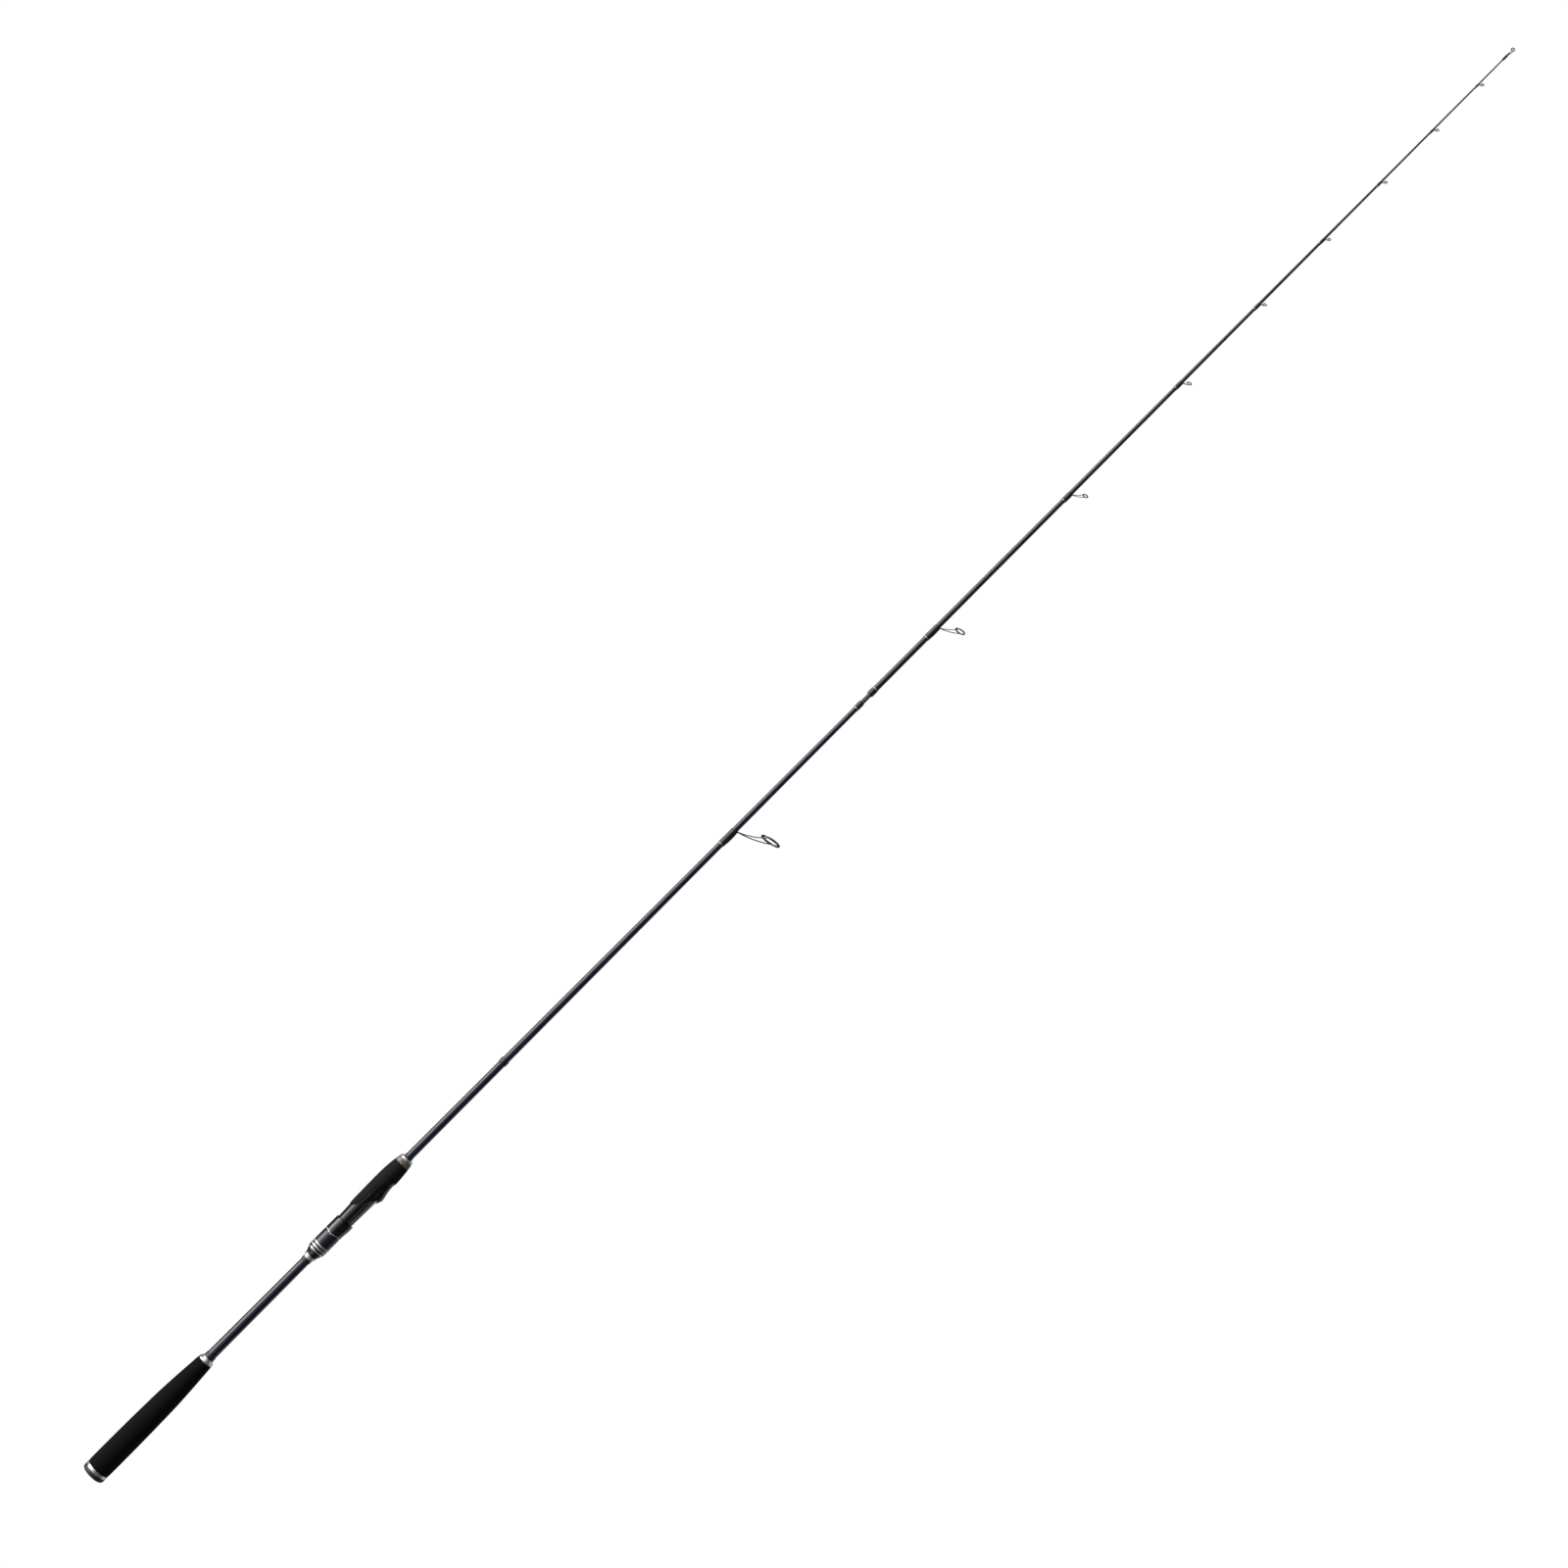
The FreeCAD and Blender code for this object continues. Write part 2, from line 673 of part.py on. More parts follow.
def make_sliding_hood():
    """The hood that slides on the barrel, with a key in the barrel's keyway and a lip over the foot."""
    start = AT["hood_start"]
    end = start + SEAT["hood_length"]
    skirt_end = start + SEAT["hood_skirt_depth"]
    bore = SEAT["barrel_radius"] + SEAT["running_gap"]
    skirt = SEAT["nut_neck_radius"] + SEAT["running_gap"]
    trim_start = start + 0.6
    trim_end = trim_start + SEAT["hood_trim_width"]
    outside = SEAT["hood_radius"]
    sleeve_part = turned("hood_sleeve", [
        (start, skirt),
        (start, outside - 0.25),
        (trim_start, outside - 0.25),
        (trim_end, outside - 0.25),
        (trim_end, outside),
        (end - 0.4, outside),
        (end, outside - 0.4),
        (end, bore),
        (skirt_end, bore),
        (skirt_end, skirt),
    ], node=False)
    lip = turned("hood_lip", [
        (trim_end + 0.4, outside - 0.6),
        (end - 6, SEAT["lip_radius"] - 0.1),
        (end + SEAT["lip_reach"] - 0.6, SEAT["lip_radius"]),
        (end + SEAT["lip_reach"], SEAT["lip_radius"] - 0.5),
        (end + SEAT["lip_reach"], bore),
        (skirt_end, bore),
        (skirt_end, skirt),
        (trim_end + 0.4, skirt),
    ], node=False)
    lower_strip(lip, "lip", start - 5, end + 10, SEAT["lip_half_width"])
    key = DOC.addObject("Part::Box", "hood_key")
    key_width = SEAT["keyway_half_width"] - SEAT["key_gap"]
    key.setExpression("Length", (end - skirt_end - 2).formula)
    key.setExpression("Width", (bore + 0.3 - SEAT["keyway_floor"] - SEAT["key_gap"]).formula)
    key.setExpression("Height", (key_width * 2).formula)
    key.setExpression("Placement.Base.x", (skirt_end + 1).formula)
    key.setExpression("Placement.Base.y", (SEAT["keyway_floor"] + SEAT["key_gap"]).formula)
    key.setExpression("Placement.Base.z", (key_width * -1).formula)
    joined = DOC.addObject("Part::MultiFuse", "hood_joined")
    joined.Shapes = [sleeve_part, lip, key]
    space = turned("hood_pocket_space", [
        (start + SEAT["pocket_back_wall"], 0),
        (start + SEAT["pocket_back_wall"], SEAT["pocket_radius"] - 1.2),
        (start + SEAT["pocket_back_wall"] + 6, SEAT["pocket_radius"]),
        (end + OUTSIDE, SEAT["pocket_radius"]),
        (end + OUTSIDE, 0),
    ], node=False)
    lower_strip(space, "pocket", start - 5, end + 25, SEAT["pocket_half_width"])
    boolean("Part::Cut", "sliding_hood", joined, space)
    turned("hood_trim", [
        (trim_start, outside - 0.25),
        (trim_start, SEAT["hood_trim_radius"]),
        (trim_end, SEAT["hood_trim_radius"]),
        (trim_end, outside - 0.25),
    ])


def make_front(region):
    """The foam foregrip, the composite ring, the front check and the front winding."""
    outer = turned("foregrip_round", [
        (AT["shell_start"], SEAT["shell_core_radius"]),
        (AT["shell_start"], SEAT["shell_radius"]),
        (SEAT["hump_foot"], SEAT["shell_radius"]),
        (AT["shell_end"], SEAT["shell_end_radius"]),
        (AT["foregrip_front"], SEAT["foregrip_front_radius"]),
        (AT["foregrip_front"], blank_radius(AT["foregrip_front"])),
        (AT["shell_end"], blank_radius(AT["shell_end"])),
        (AT["shell_end"], SEAT["shell_core_radius"]),
    ], node=False)
    boolean("Part::Common", "foregrip", outer, region)
    sleeve("composite_ring", AT["foregrip_front"], AT["composite_front"],
           SEAT["composite_rear_radius"], SEAT["composite_front_radius"])
    sleeve("front_check", AT["composite_front"], AT["front_check_front"],
           SEAT["front_check_radius"], SEAT["front_check_radius"] - 0.2)
    sleeve("seat_front_wrap", AT["front_check_front"], AT["seat_front_wrap_end"],
           SEAT["front_wrap_radius"], SEAT["front_wrap_radius"] - 0.1)


# ---------------------------------------------------------------- guides

def frame_wall(radius):
    """The frame ring's wall, thicker on a larger guide."""
    return 0.35 + radius * 0.065


def ring_outline(outer, wall, width):
    """The ceramic ring's section, with its bore rounded to a short straight land in the middle."""
    inner = outer - wall
    half = width / 2
    land = width * 0.2
    ease = wall * 0.45
    return [
        (half * -1, outer),
        (half * -1, inner + ease, -0.07),
        (land * -1, inner),
        (land, inner, -0.07),
        (half, inner + ease),
        (half, outer),
    ]


def make_ring(label, frame_radius, along, height, lean):
    """A ceramic ring about its own axis, placed on its guide."""
    outer = frame_radius - frame_wall(frame_radius)
    ring = turned(label, ring_outline(outer, 0.35 + frame_radius * 0.095, 0.8 + frame_radius * 0.13))
    ring.Placement = Placement(Vector(along.value, -height.value, 0), Rotation(Vector(0, 0, 1), lean.value))
    ring.setExpression("Placement.Base.x", along.formula)
    ring.setExpression("Placement.Base.y", (height * -1).formula)
    ring.setExpression("Placement.Rotation.Angle", lean.formula)
    return ring


def bent_leg(root, middle, end, radius):
    """A round leg bent along the one arc through three points."""
    arc = Part.Arc(root, middle, end)
    path = Part.Wire([arc.toShape()])
    start_way = arc.tangent(arc.FirstParameter)[0]
    section = Part.Wire([Part.makeCircle(radius, root, start_way)])
    leg = path.makePipeShell([section], True, True)
    weld = radius * 1.25
    return leg.fuse([Part.makeSphere(weld, root), Part.makeSphere(weld, end)])


def frame_disc(centre, outer, width, lean):
    """The frame's ring before its hole is cut."""
    way = Rotation(Vector(0, 0, 1), lean).multVec(Vector(1, 0, 0))
    return Part.makeCylinder(outer, width, centre - way * (width / 2), way)


def frame_hole(centre, radius, lean):
    """What the ceramic ring's seat takes out of the frame."""
    way = Rotation(Vector(0, 0, 1), lean).multVec(Vector(1, 0, 0))
    return Part.makeCylinder(radius, 8, centre - way * 4, way)


def guide_frame_shape(start, root, centre, height, radius):
    """One single-foot guide frame: foot, root, two bent legs and the ring that they carry."""
    lean = GUIDE["ring_lean"].value
    wall = frame_wall(radius)
    wire = 0.35 + radius * 0.03
    under = blank_radius(start).value
    thick = GUIDE["foot_thickness"].value
    half = GUIDE["foot_half_width"].value * (0.7 + radius * 0.02)
    foot_corner = Vector(start + 1.5, -under - thick, -half)
    foot = Part.makeBox(root - start - 1.5, thick, half * 2, foot_corner)
    rise = under + max(thick, wire)
    block = Part.makeBox(wire * 2, rise + wire * 0.5 - under, half * 2, Vector(root, -rise - wire * 0.5, -half))
    shape = foot.fuse(block)
    base = Vector(root + wire, -rise, 0)
    ring_centre = Vector(centre, -height, 0)
    for side in (-1, 1):
        begin = base + Vector(0, 0, side * (half - wire * 0.5))
        end = ring_centre + Vector(0, 0, side * (radius - wall * 0.5))
        reach = end - begin
        middle = begin + Vector(reach.x * 0.39, reach.y * 0.51, reach.z * 0.44)
        shape = shape.fuse(bent_leg(begin, middle, end, wire))
    shape = shape.fuse(frame_disc(ring_centre, radius, (0.8 + radius * 0.13) * 0.7, lean))
    return shape.cut(frame_hole(ring_centre, radius - wall, lean)).removeSplitter()


def make_guides():
    """Every guide is a frame, a ceramic ring and a winding that ties the foot down."""
    names = ("wrap_start", "root", "ring_centre", "ring_height", "frame_radius")
    for number, row in enumerate(GUIDE_ROWS, 1):
        cells = sheet_sizes({f"guide_{number}_{name}": value for name, value in zip(names, row)})
        start, root, centre, height, radius = cells.values()
        frame = DOC.addObject("Part::Feature", f"guide_{number}_frame")
        frame.Label = f"guide_{number}_frame"
        frame.Shape = guide_frame_shape(*(size.value for size in cells.values()))
        NODES.append(frame)
        make_ring(f"guide_{number}_ring", radius, centre, height, GUIDE["ring_lean"])
        build = GUIDE["wrap_build"] if number <= 3 else GUIDE["small_wrap_build"]
        wrap = winding(f"guide_{number}_wrap", start, root, build)
        under = blank_radius(start)
        half = GUIDE["foot_half_width"] * (0.7 + radius * 0.02)
        foot = box(start + 1.5, root + 1, (under + GUIDE["foot_thickness"]) * -1, (under - 1) * -1)
        pocket(wrap, f"guide_{number}_foot_slot", foot, half)


def make_tip_top():
    """The tip-top: a tube over the blank's end, two legs and a ring beyond it."""
    radius = GUIDE["tip_frame_radius"].value
    lean = 0.0
    wall = frame_wall(radius)
    wire = 0.42
    begin = AT["tip_wrap_start"].value + 2
    end = AT["tip_end"].value
    bore = blank_radius(AT["tip_wrap_start"] + 2).value + 0.02
    outer = GUIDE["tip_tube_radius"].value
    along = Vector(1, 0, 0)
    tube = Part.makeCylinder(outer, end - begin + 1.2, Vector(begin, 0, 0), along)
    tube = tube.cut(Part.makeCylinder(bore, end - begin, Vector(begin, 0, 0), along))
    ring_centre = Vector(AT["tip_ring_centre"].value, 0, 0)
    shape = tube
    for side in (-1, 1):
        start = Vector(end + 0.2, 0, side * (outer - wire * 0.5))
        finish = ring_centre + Vector(0, 0, side * (radius - wall * 0.5))
        reach = finish - start
        middle = start + Vector(reach.x * 0.5, 0, reach.z * 0.62)
        shape = shape.fuse(bent_leg(start, middle, finish, wire))
    brace_start = Vector(end - 1.0, -outer + wire * 0.3, 0)
    brace_end = ring_centre + Vector(0, -radius + wall * 0.5, 0)
    brace_reach = brace_end - brace_start
    brace_middle = brace_start + Vector(brace_reach.x * 0.5, brace_reach.y * 0.62, 0)
    shape = shape.fuse(bent_leg(brace_start, brace_middle, brace_end, wire))
    shape = shape.fuse(frame_disc(ring_centre, radius, (0.8 + radius * 0.13) * 0.7, lean))
    frame = DOC.addObject("Part::Feature", "tip_top_frame")
    frame.Label = "tip_top_frame"
    frame.Shape = shape.cut(frame_hole(ring_centre, radius - wall, lean)).removeSplitter()
    NODES.append(frame)
    make_ring("tip_top_ring", GUIDE["tip_frame_radius"], AT["tip_ring_centre"], as_size(0), as_size(0))
    start = AT["tip_wrap_start"]
    wrap_end = AT["tip_tube_wrap_end"]
    tube_start = start + 2
    cover = GUIDE["tip_tube_radius"] + GUIDE["tip_wrap_build"]
    turned("tip_top_wrap", [
        (start, blank_radius(start)),
        (start, blank_radius(start) + 0.2),
        (start + 1.5, cover),
        (wrap_end - 0.5, cover),
        (wrap_end, cover - 0.15),
        (wrap_end, GUIDE["tip_tube_radius"]),
        (tube_start, GUIDE["tip_tube_radius"]),
        (tube_start, blank_radius(tube_start)),
    ])


# ---------------------------------------------------------------- the whole rod

def checked():
    """Stops if anything in the document failed or any piece is null or invalid."""
    for item in DOC.Objects:
        if {"Invalid", "Error"} & set(item.State):
            raise RuntimeError(f"{item.Label} failed: {item.State}")
    for node in NODES:
        if node.Shape.isNull() or not node.Shape.isValid() or not node.Shape.Solids:
            raise RuntimeError(f"{node.Label} has no valid solid")


def write_parts():
    """Writes each piece to its own file."""
    os.makedirs("parts", exist_ok=True)
    for node in NODES:
        node.Shape.exportStep(f"parts/{node.Label}.step")
        print(f"{node.Label:22s} solids {len(node.Shape.Solids)} volume {node.Shape.Volume:10.1f}")


make_blanks()
make_rear_grip()
make_seat_rear()
REGION = foregrip_region()
make_seat_body(REGION)
make_seat_pad()
make_lock_nut()
make_sliding_hood()
make_front(REGION)
make_guides()
make_tip_top()
DOC.recompute()
checked()
write_parts()
print(len(NODES), "nodes")
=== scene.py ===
"""Looks of a two-piece spinning rod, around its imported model.

+X runs to the tip and -Y to the guides. Sizes of the rod's pieces are in millimetres, and the floor, lamps and
camera are in metres. Angles around the rod start at +Y, so that pi is the guides' side.
"""
import math

import bpy
from mathutils import Matrix, Vector


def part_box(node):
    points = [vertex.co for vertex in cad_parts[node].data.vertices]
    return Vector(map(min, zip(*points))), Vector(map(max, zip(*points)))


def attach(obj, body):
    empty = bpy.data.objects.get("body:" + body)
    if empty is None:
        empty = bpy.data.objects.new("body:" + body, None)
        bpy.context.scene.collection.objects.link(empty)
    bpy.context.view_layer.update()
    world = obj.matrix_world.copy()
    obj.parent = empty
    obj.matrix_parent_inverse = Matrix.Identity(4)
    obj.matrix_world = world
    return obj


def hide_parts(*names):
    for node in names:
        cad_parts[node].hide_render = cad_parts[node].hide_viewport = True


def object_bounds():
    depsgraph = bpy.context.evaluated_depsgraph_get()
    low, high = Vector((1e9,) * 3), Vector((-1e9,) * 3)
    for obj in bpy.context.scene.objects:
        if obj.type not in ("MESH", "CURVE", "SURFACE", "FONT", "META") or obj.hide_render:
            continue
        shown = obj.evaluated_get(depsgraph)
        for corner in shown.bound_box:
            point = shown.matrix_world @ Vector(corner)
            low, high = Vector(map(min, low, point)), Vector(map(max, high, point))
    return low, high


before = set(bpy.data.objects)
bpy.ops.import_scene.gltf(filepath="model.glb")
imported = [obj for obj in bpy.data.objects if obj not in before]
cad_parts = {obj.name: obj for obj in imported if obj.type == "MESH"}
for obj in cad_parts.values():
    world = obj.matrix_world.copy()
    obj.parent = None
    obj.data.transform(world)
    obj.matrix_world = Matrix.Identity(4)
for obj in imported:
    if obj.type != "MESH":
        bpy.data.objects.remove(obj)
cad_low, cad_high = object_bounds()
MM = 0.001
TAU = 2 * math.pi


# ---------------------------------------------------------------- finishes
def new_finish(name, colour, roughness, metallic=0.0, **sockets):
    """A material with its flat values set on the shader's own sockets."""
    material = bpy.data.materials.new(name)
    material.use_nodes = True
    shader = material.node_tree.nodes["Principled BSDF"]
    shader.inputs["Base Color"].default_value = (*colour, 1.0)
    shader.inputs["Roughness"].default_value = roughness
    shader.inputs["Metallic"].default_value = metallic
    for socket, value in sockets.items():
        shader.inputs[socket.replace("_", " ")].default_value = value
    return material


def add_node(material, kind):
    return material.node_tree.nodes.new(kind)


def join(material, out_socket, in_socket):
    material.node_tree.links.new(out_socket, in_socket)


def grain(material, size, stretch=(1, 1, 1), detail=3.0):
    """Noise over the object's own coordinates, one cell being size millimetres."""
    coords = add_node(material, "ShaderNodeTexCoord")
    mapping = add_node(material, "ShaderNodeMapping")
    mapping.inputs["Scale"].default_value = [1 / s for s in stretch]
    texture = add_node(material, "ShaderNodeTexNoise")
    texture.inputs["Scale"].default_value = 1 / (size * MM)
    texture.inputs["Detail"].default_value = detail
    join(material, coords.outputs["Object"], mapping.inputs["Vector"])
    join(material, mapping.outputs["Vector"], texture.inputs["Vector"])
    return texture


def vary_colour(material, texture, dark, light, low=0.35, high=0.65):
    """The base colour runs from dark to light with the texture."""
    ramp = add_node(material, "ShaderNodeValToRGB")
    ramp.color_ramp.elements[0].position = low
    ramp.color_ramp.elements[0].color = (*dark, 1.0)
    ramp.color_ramp.elements[1].position = high
    ramp.color_ramp.elements[1].color = (*light, 1.0)
    shader = material.node_tree.nodes["Principled BSDF"]
    join(material, texture.outputs[0], ramp.inputs["Fac"])
    join(material, ramp.outputs["Color"], shader.inputs["Base Color"])


def vary_roughness(material, texture, low, high):
    spread = add_node(material, "ShaderNodeMapRange")
    spread.inputs["From Min"].default_value = 0.3
    spread.inputs["From Max"].default_value = 0.7
    spread.inputs["To Min"].default_value = low
    spread.inputs["To Max"].default_value = high
    shader = material.node_tree.nodes["Principled BSDF"]
    join(material, texture.outputs[0], spread.inputs["Value"])
    join(material, spread.outputs["Result"], shader.inputs["Roughness"])


def add_bump(material, texture, depth, strength=1.0):
    """Relief of the texture, depth millimetres high."""
    bump = add_node(material, "ShaderNodeBump")
    bump.inputs["Distance"].default_value = depth * MM
    bump.inputs["Strength"].default_value = strength
    shader = material.node_tree.nodes["Principled BSDF"]
    join(material, texture.outputs[0], bump.inputs["Height"])
    join(material, bump.outputs["Normal"], shader.inputs["Normal"])


def lacquer(name, dark, light, roughness, coat):
    """Blank lacquer: fine carbon grain along the rod under a clear coat."""
    made = new_finish(name, dark, roughness, Coat_Weight=coat, Coat_Roughness=0.09, Coat_IOR=1.45)
    vary_colour(made, grain(made, 1.1, stretch=(9, 1, 1)), dark, light)
    vary_roughness(made, grain(made, 0.5, stretch=(3, 1, 1)), roughness - 0.05, roughness + 0.06)
    return made


def metal(name, colour, roughness, brushed, metallic=1.0):
    """Polished or brushed metal with fine turning marks."""
    made = new_finish(name, colour, roughness, metallic)
    marks = grain(made, 0.35, stretch=brushed, detail=2.0)
    vary_roughness(made, marks, max(0.03, roughness - 0.05), roughness + 0.07)
    add_bump(made, marks, 0.006, 0.5)
    return made


def foam(name, dark, light, shine):
    """Closed-cell foam: matt, with fine open pores."""
    made = new_finish(name, dark, 0.82, Specular_IOR_Level=shine, Sheen_Weight=0.03, Sheen_Roughness=0.5)
    pores = grain(made, 0.9, detail=6.0)
    vary_colour(made, pores, dark, light)
    add_bump(made, pores, 0.14, 0.8)
    return made


BUTT = lacquer("violet_black_lacquer", (0.008, 0.008, 0.017), (0.017, 0.016, 0.032), 0.24, 0.5)
TIP = lacquer("dark_grey_lacquer", (0.010, 0.011, 0.014), (0.022, 0.023, 0.028), 0.28, 0.4)
FOAM = foam("black_foam", (0.0014, 0.0014, 0.0021), (0.0044, 0.0044, 0.0058), 0.08)
FRONT_FOAM = foam("dark_grey_foam", (0.0023, 0.0023, 0.0031), (0.0064, 0.0064, 0.0078), 0.18)
CHROME = metal("bright_metal", (0.74, 0.74, 0.76), 0.24, (8, 1, 1), 0.85)
STEEL = metal("guide_steel", (0.075, 0.077, 0.084), 0.34, (1, 1, 1))
TRIM = metal("silver_trim", (0.60, 0.60, 0.62), 0.34, (6, 1, 1), 0.6)
CERAMIC = new_finish("ring_ceramic", (0.035, 0.036, 0.040), 0.10, Specular_IOR_Level=0.8)
vary_roughness(CERAMIC, grain(CERAMIC, 0.3), 0.07, 0.13)
RUBBER = new_finish("cap_rubber", (0.020, 0.020, 0.022), 0.55)
add_bump(RUBBER, grain(RUBBER, 0.25), 0.03, 0.6)
SEAT = new_finish("seat_gloss", (0.0035, 0.0035, 0.0045), 0.25, Coat_Weight=0.5, Coat_Roughness=0.2)
vary_roughness(SEAT, grain(SEAT, 0.8), 0.22, 0.27)
SHELL = new_finish("shell_gloss", (0.0035, 0.0035, 0.0045), 0.26, Specular_IOR_Level=0.42, Coat_Weight=0.15,
                   Coat_Roughness=0.2)
vary_roughness(SHELL, grain(SHELL, 0.8), 0.23, 0.29)
BED = new_finish("seat_bed", (0.035, 0.035, 0.038), 0.36, Specular_IOR_Level=1.0, Coat_Weight=0.8,
                 Coat_Roughness=0.3)
vary_roughness(BED, grain(BED, 0.5, stretch=(0.4, 2, 2)), 0.30, 0.42)
NUT = new_finish("nut_plastic", (0.012, 0.012, 0.014), 0.30, Coat_Weight=0.3, Coat_Roughness=0.2)
vary_roughness(NUT, grain(NUT, 0.4), 0.26, 0.36)
THREAD = new_finish("thread_under_epoxy", (0.004, 0.004, 0.006), 0.45, Coat_Weight=0.4, Coat_Roughness=0.12)
vary_colour(THREAD, grain(THREAD, 0.18, stretch=(0.5, 3, 3)), (0.002, 0.002, 0.003), (0.008, 0.008, 0.010))
SANDED = new_finish("sanded_ferrule", (0.055, 0.050, 0.046), 0.6)
vary_colour(SANDED, grain(SANDED, 0.5, stretch=(1, 3, 3)), (0.040, 0.036, 0.033), (0.085, 0.078, 0.070))
add_bump(SANDED, grain(SANDED, 0.3, stretch=(0.4, 3, 3)), 0.02, 0.6)
COMPOSITE = new_finish("marbled_composite", (0.10, 0.08, 0.07), 0.42)
MARBLING = grain(COMPOSITE, 2.2, stretch=(0.6, 1.6, 1.6), detail=5.0)
vary_colour(COMPOSITE, MARBLING, (0.045, 0.033, 0.027), (0.26, 0.215, 0.18))
BOARD = new_finish("arbor_board", (0.30, 0.26, 0.20), 0.8)
vary_colour(BOARD, grain(BOARD, 0.8), (0.24, 0.20, 0.15), (0.36, 0.31, 0.25))


# ---------------------------------------------------------------- mesh helpers
def piece(name, points, faces, material, body, nodes=(), sharp=32):
    """A shown piece from points in millimetres, smooth except at edges sharper than sharp degrees."""
    mesh = bpy.data.meshes.new(name)
    mesh.from_pydata([Vector(p) * MM for p in points], [], faces)
    mesh.validate()
    mesh.update()
    mesh.shade_smooth()
    mesh.set_sharp_from_angle(angle=math.radians(sharp))
    mesh.materials.append(material)
    made = bpy.data.objects.new(name, mesh)
    bpy.context.scene.collection.objects.link(made)
    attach(made, body)
    if nodes:
        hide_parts(*nodes)
    return made


def loft(name, rows, material, body, nodes=(), closed=False, sharp=32):
    """Skin over rows of points, each row a loop.

    A closed loft joins its last row to its first, and any other has both ends filled.
    """
    count = len(rows[0])
    points = [p for row in rows for p in row]
    faces = []
    spans = len(rows) if closed else len(rows) - 1
    for i in range(spans):
        a, b = i * count, ((i + 1) % len(rows)) * count
        for j in range(count):
            k = (j + 1) % count
            faces.append((a + j, b + j, b + k, a + k))
    if not closed:
        faces.append(tuple(range(count)))
        last = (len(rows) - 1) * count
        faces.append(tuple(last + j for j in reversed(range(count))))
    return piece(name, points, faces, material, body, nodes, sharp)


def circle_row(x, r, segments, wave=None):
    """A loop round the X axis; wave(angle, r) may change its radius."""
    row = []
    for j in range(segments):
        a = TAU * j / segments
        s = wave(a, r) if wave else r
        row.append((x, s * math.cos(a), s * math.sin(a)))
    return row


def softened(outline, radius, closed=True, steps=3):
    """The outline with each corner rounded by about radius, kept within a third of its two sides."""
    made = []
    count = len(outline)
    for i, corner in enumerate(outline):
        if not closed and i in (0, count - 1):
            made.append(tuple(corner))
            continue
        here = Vector(corner)
        before = Vector(outline[i - 1]) - here
        after = Vector(outline[(i + 1) % count]) - here
        reach = min(radius, before.length / 3, after.length / 3)
        p = here + before.normalized() * reach
        q = here + after.normalized() * reach
        for k in range(steps + 1):
            t = k / steps
            made.append(tuple(p * (1 - t) ** 2 + here * 2 * t * (1 - t) + q * t ** 2))
    return made


def turned(name, outline, material, body, nodes=(), soft=0.3, segments=72):
    """A turned ring or tube: a closed outline of (x, radius) swept round the X axis."""
    outline = softened(outline, soft) if soft else outline
    rows = [circle_row(x, r, segments) for x, r in outline]
    return loft(name, rows, material, body, nodes, closed=True)


def solid_turned(name, outline, material, body, nodes, soft, segments):
    """A turned solid: an open outline of (x, radius) with flat ends filled in."""
    smallest = 0.02
    rows = [circle_row(x, max(r, smallest), segments) for x, r in softened(outline, soft, closed=False)]
    return loft(name, rows, material, body, nodes)


def smooth_step(t):
    """Rises softly from 0 to 1 as t does."""
    t = min(max(t, 0.0), 1.0)
    return t * t * (3 - 2 * t)


def along(stations, x):
    """The value at x between (place, value) stations."""
    for (x0, v0), (x1, v1) in zip(stations, stations[1:]):
        if x <= x1:
            return v0 + (v1 - v0) * max(0.0, x - x0) / (x1 - x0)
    return stations[-1][1]


def eased(stations, x):
    """A smooth curve through the stations, by cubic pieces with shared slopes."""
    def slope(i):
        a, b = max(i - 1, 0), min(i + 1, len(stations) - 1)
        return (stations[b][1] - stations[a][1]) / (stations[b][0] - stations[a][0])
    for i, ((x0, v0), (x1, v1)) in enumerate(zip(stations, stations[1:])):
        if x <= x1:
            t, span = (x - x0) / (x1 - x0), x1 - x0
            a, b = slope(i) * span, slope(i + 1) * span
            return v0 + t * (a + t * (3 * (v1 - v0) - 2 * a - b + t * (2 * (v0 - v1) + a + b)))
    return stations[-1][1]


def spaced(start, end, step):
    """Evenly spaced places from start to end, about step apart."""
    count = max(1, round((end - start) / step))
    return [start + (end - start) * i / count for i in range(count + 1)]


# ---------------------------------------------------------------- blanks
BUTT_START, BUTT_END = 5.7, 1335.6
TIP_START, TIP_END = 1350.4, 2729
SOCKET_END = 1422.0
PLUG_END = 1420
BUTT_RADII = [(BUTT_START, 6.85), (520, 5.35), (BUTT_END, 3.55)]
TIP_RADII = [(TIP_START, 4.15), (1995, 2.75), (2440, 1.55), (TIP_END, 1.05)]


def blank_radius(x):
    return along(BUTT_RADII, x) if x < (BUTT_END + TIP_START) / 2 else along(TIP_RADII, x)


def make_blanks():
    outer = [(x, along(BUTT_RADII, x)) for x in spaced(BUTT_START, BUTT_END, 40)]
    bore = [(BUTT_END, 2.3), (BUTT_START, 5.75)]
    turned("butt_tube", outer + bore, BUTT, "butt_section", ["butt_blank"], soft=0)
    plug = [(BUTT_END - 0.1, 2.35), (BUTT_END - 0.1, 3.17), (PLUG_END - 0.8, 3.10), (PLUG_END, 2.85),
            (PLUG_END, 2.3)]
    turned("ferrule_spigot", plug, SANDED, "butt_section", ["butt_blank"], soft=0.2)
    outer = [(x, along(TIP_RADII, x)) for x in spaced(TIP_START, TIP_END, 30)]
    bore = [(TIP_END, 0.3), (2440, 0.5), (1995, 1.5), (SOCKET_END, 2.6), (SOCKET_END, 3.2), (TIP_START, 3.24)]
    turned("tip_tube", outer + bore, TIP, "tip_section", ["tip_blank"], soft=0, segments=48)


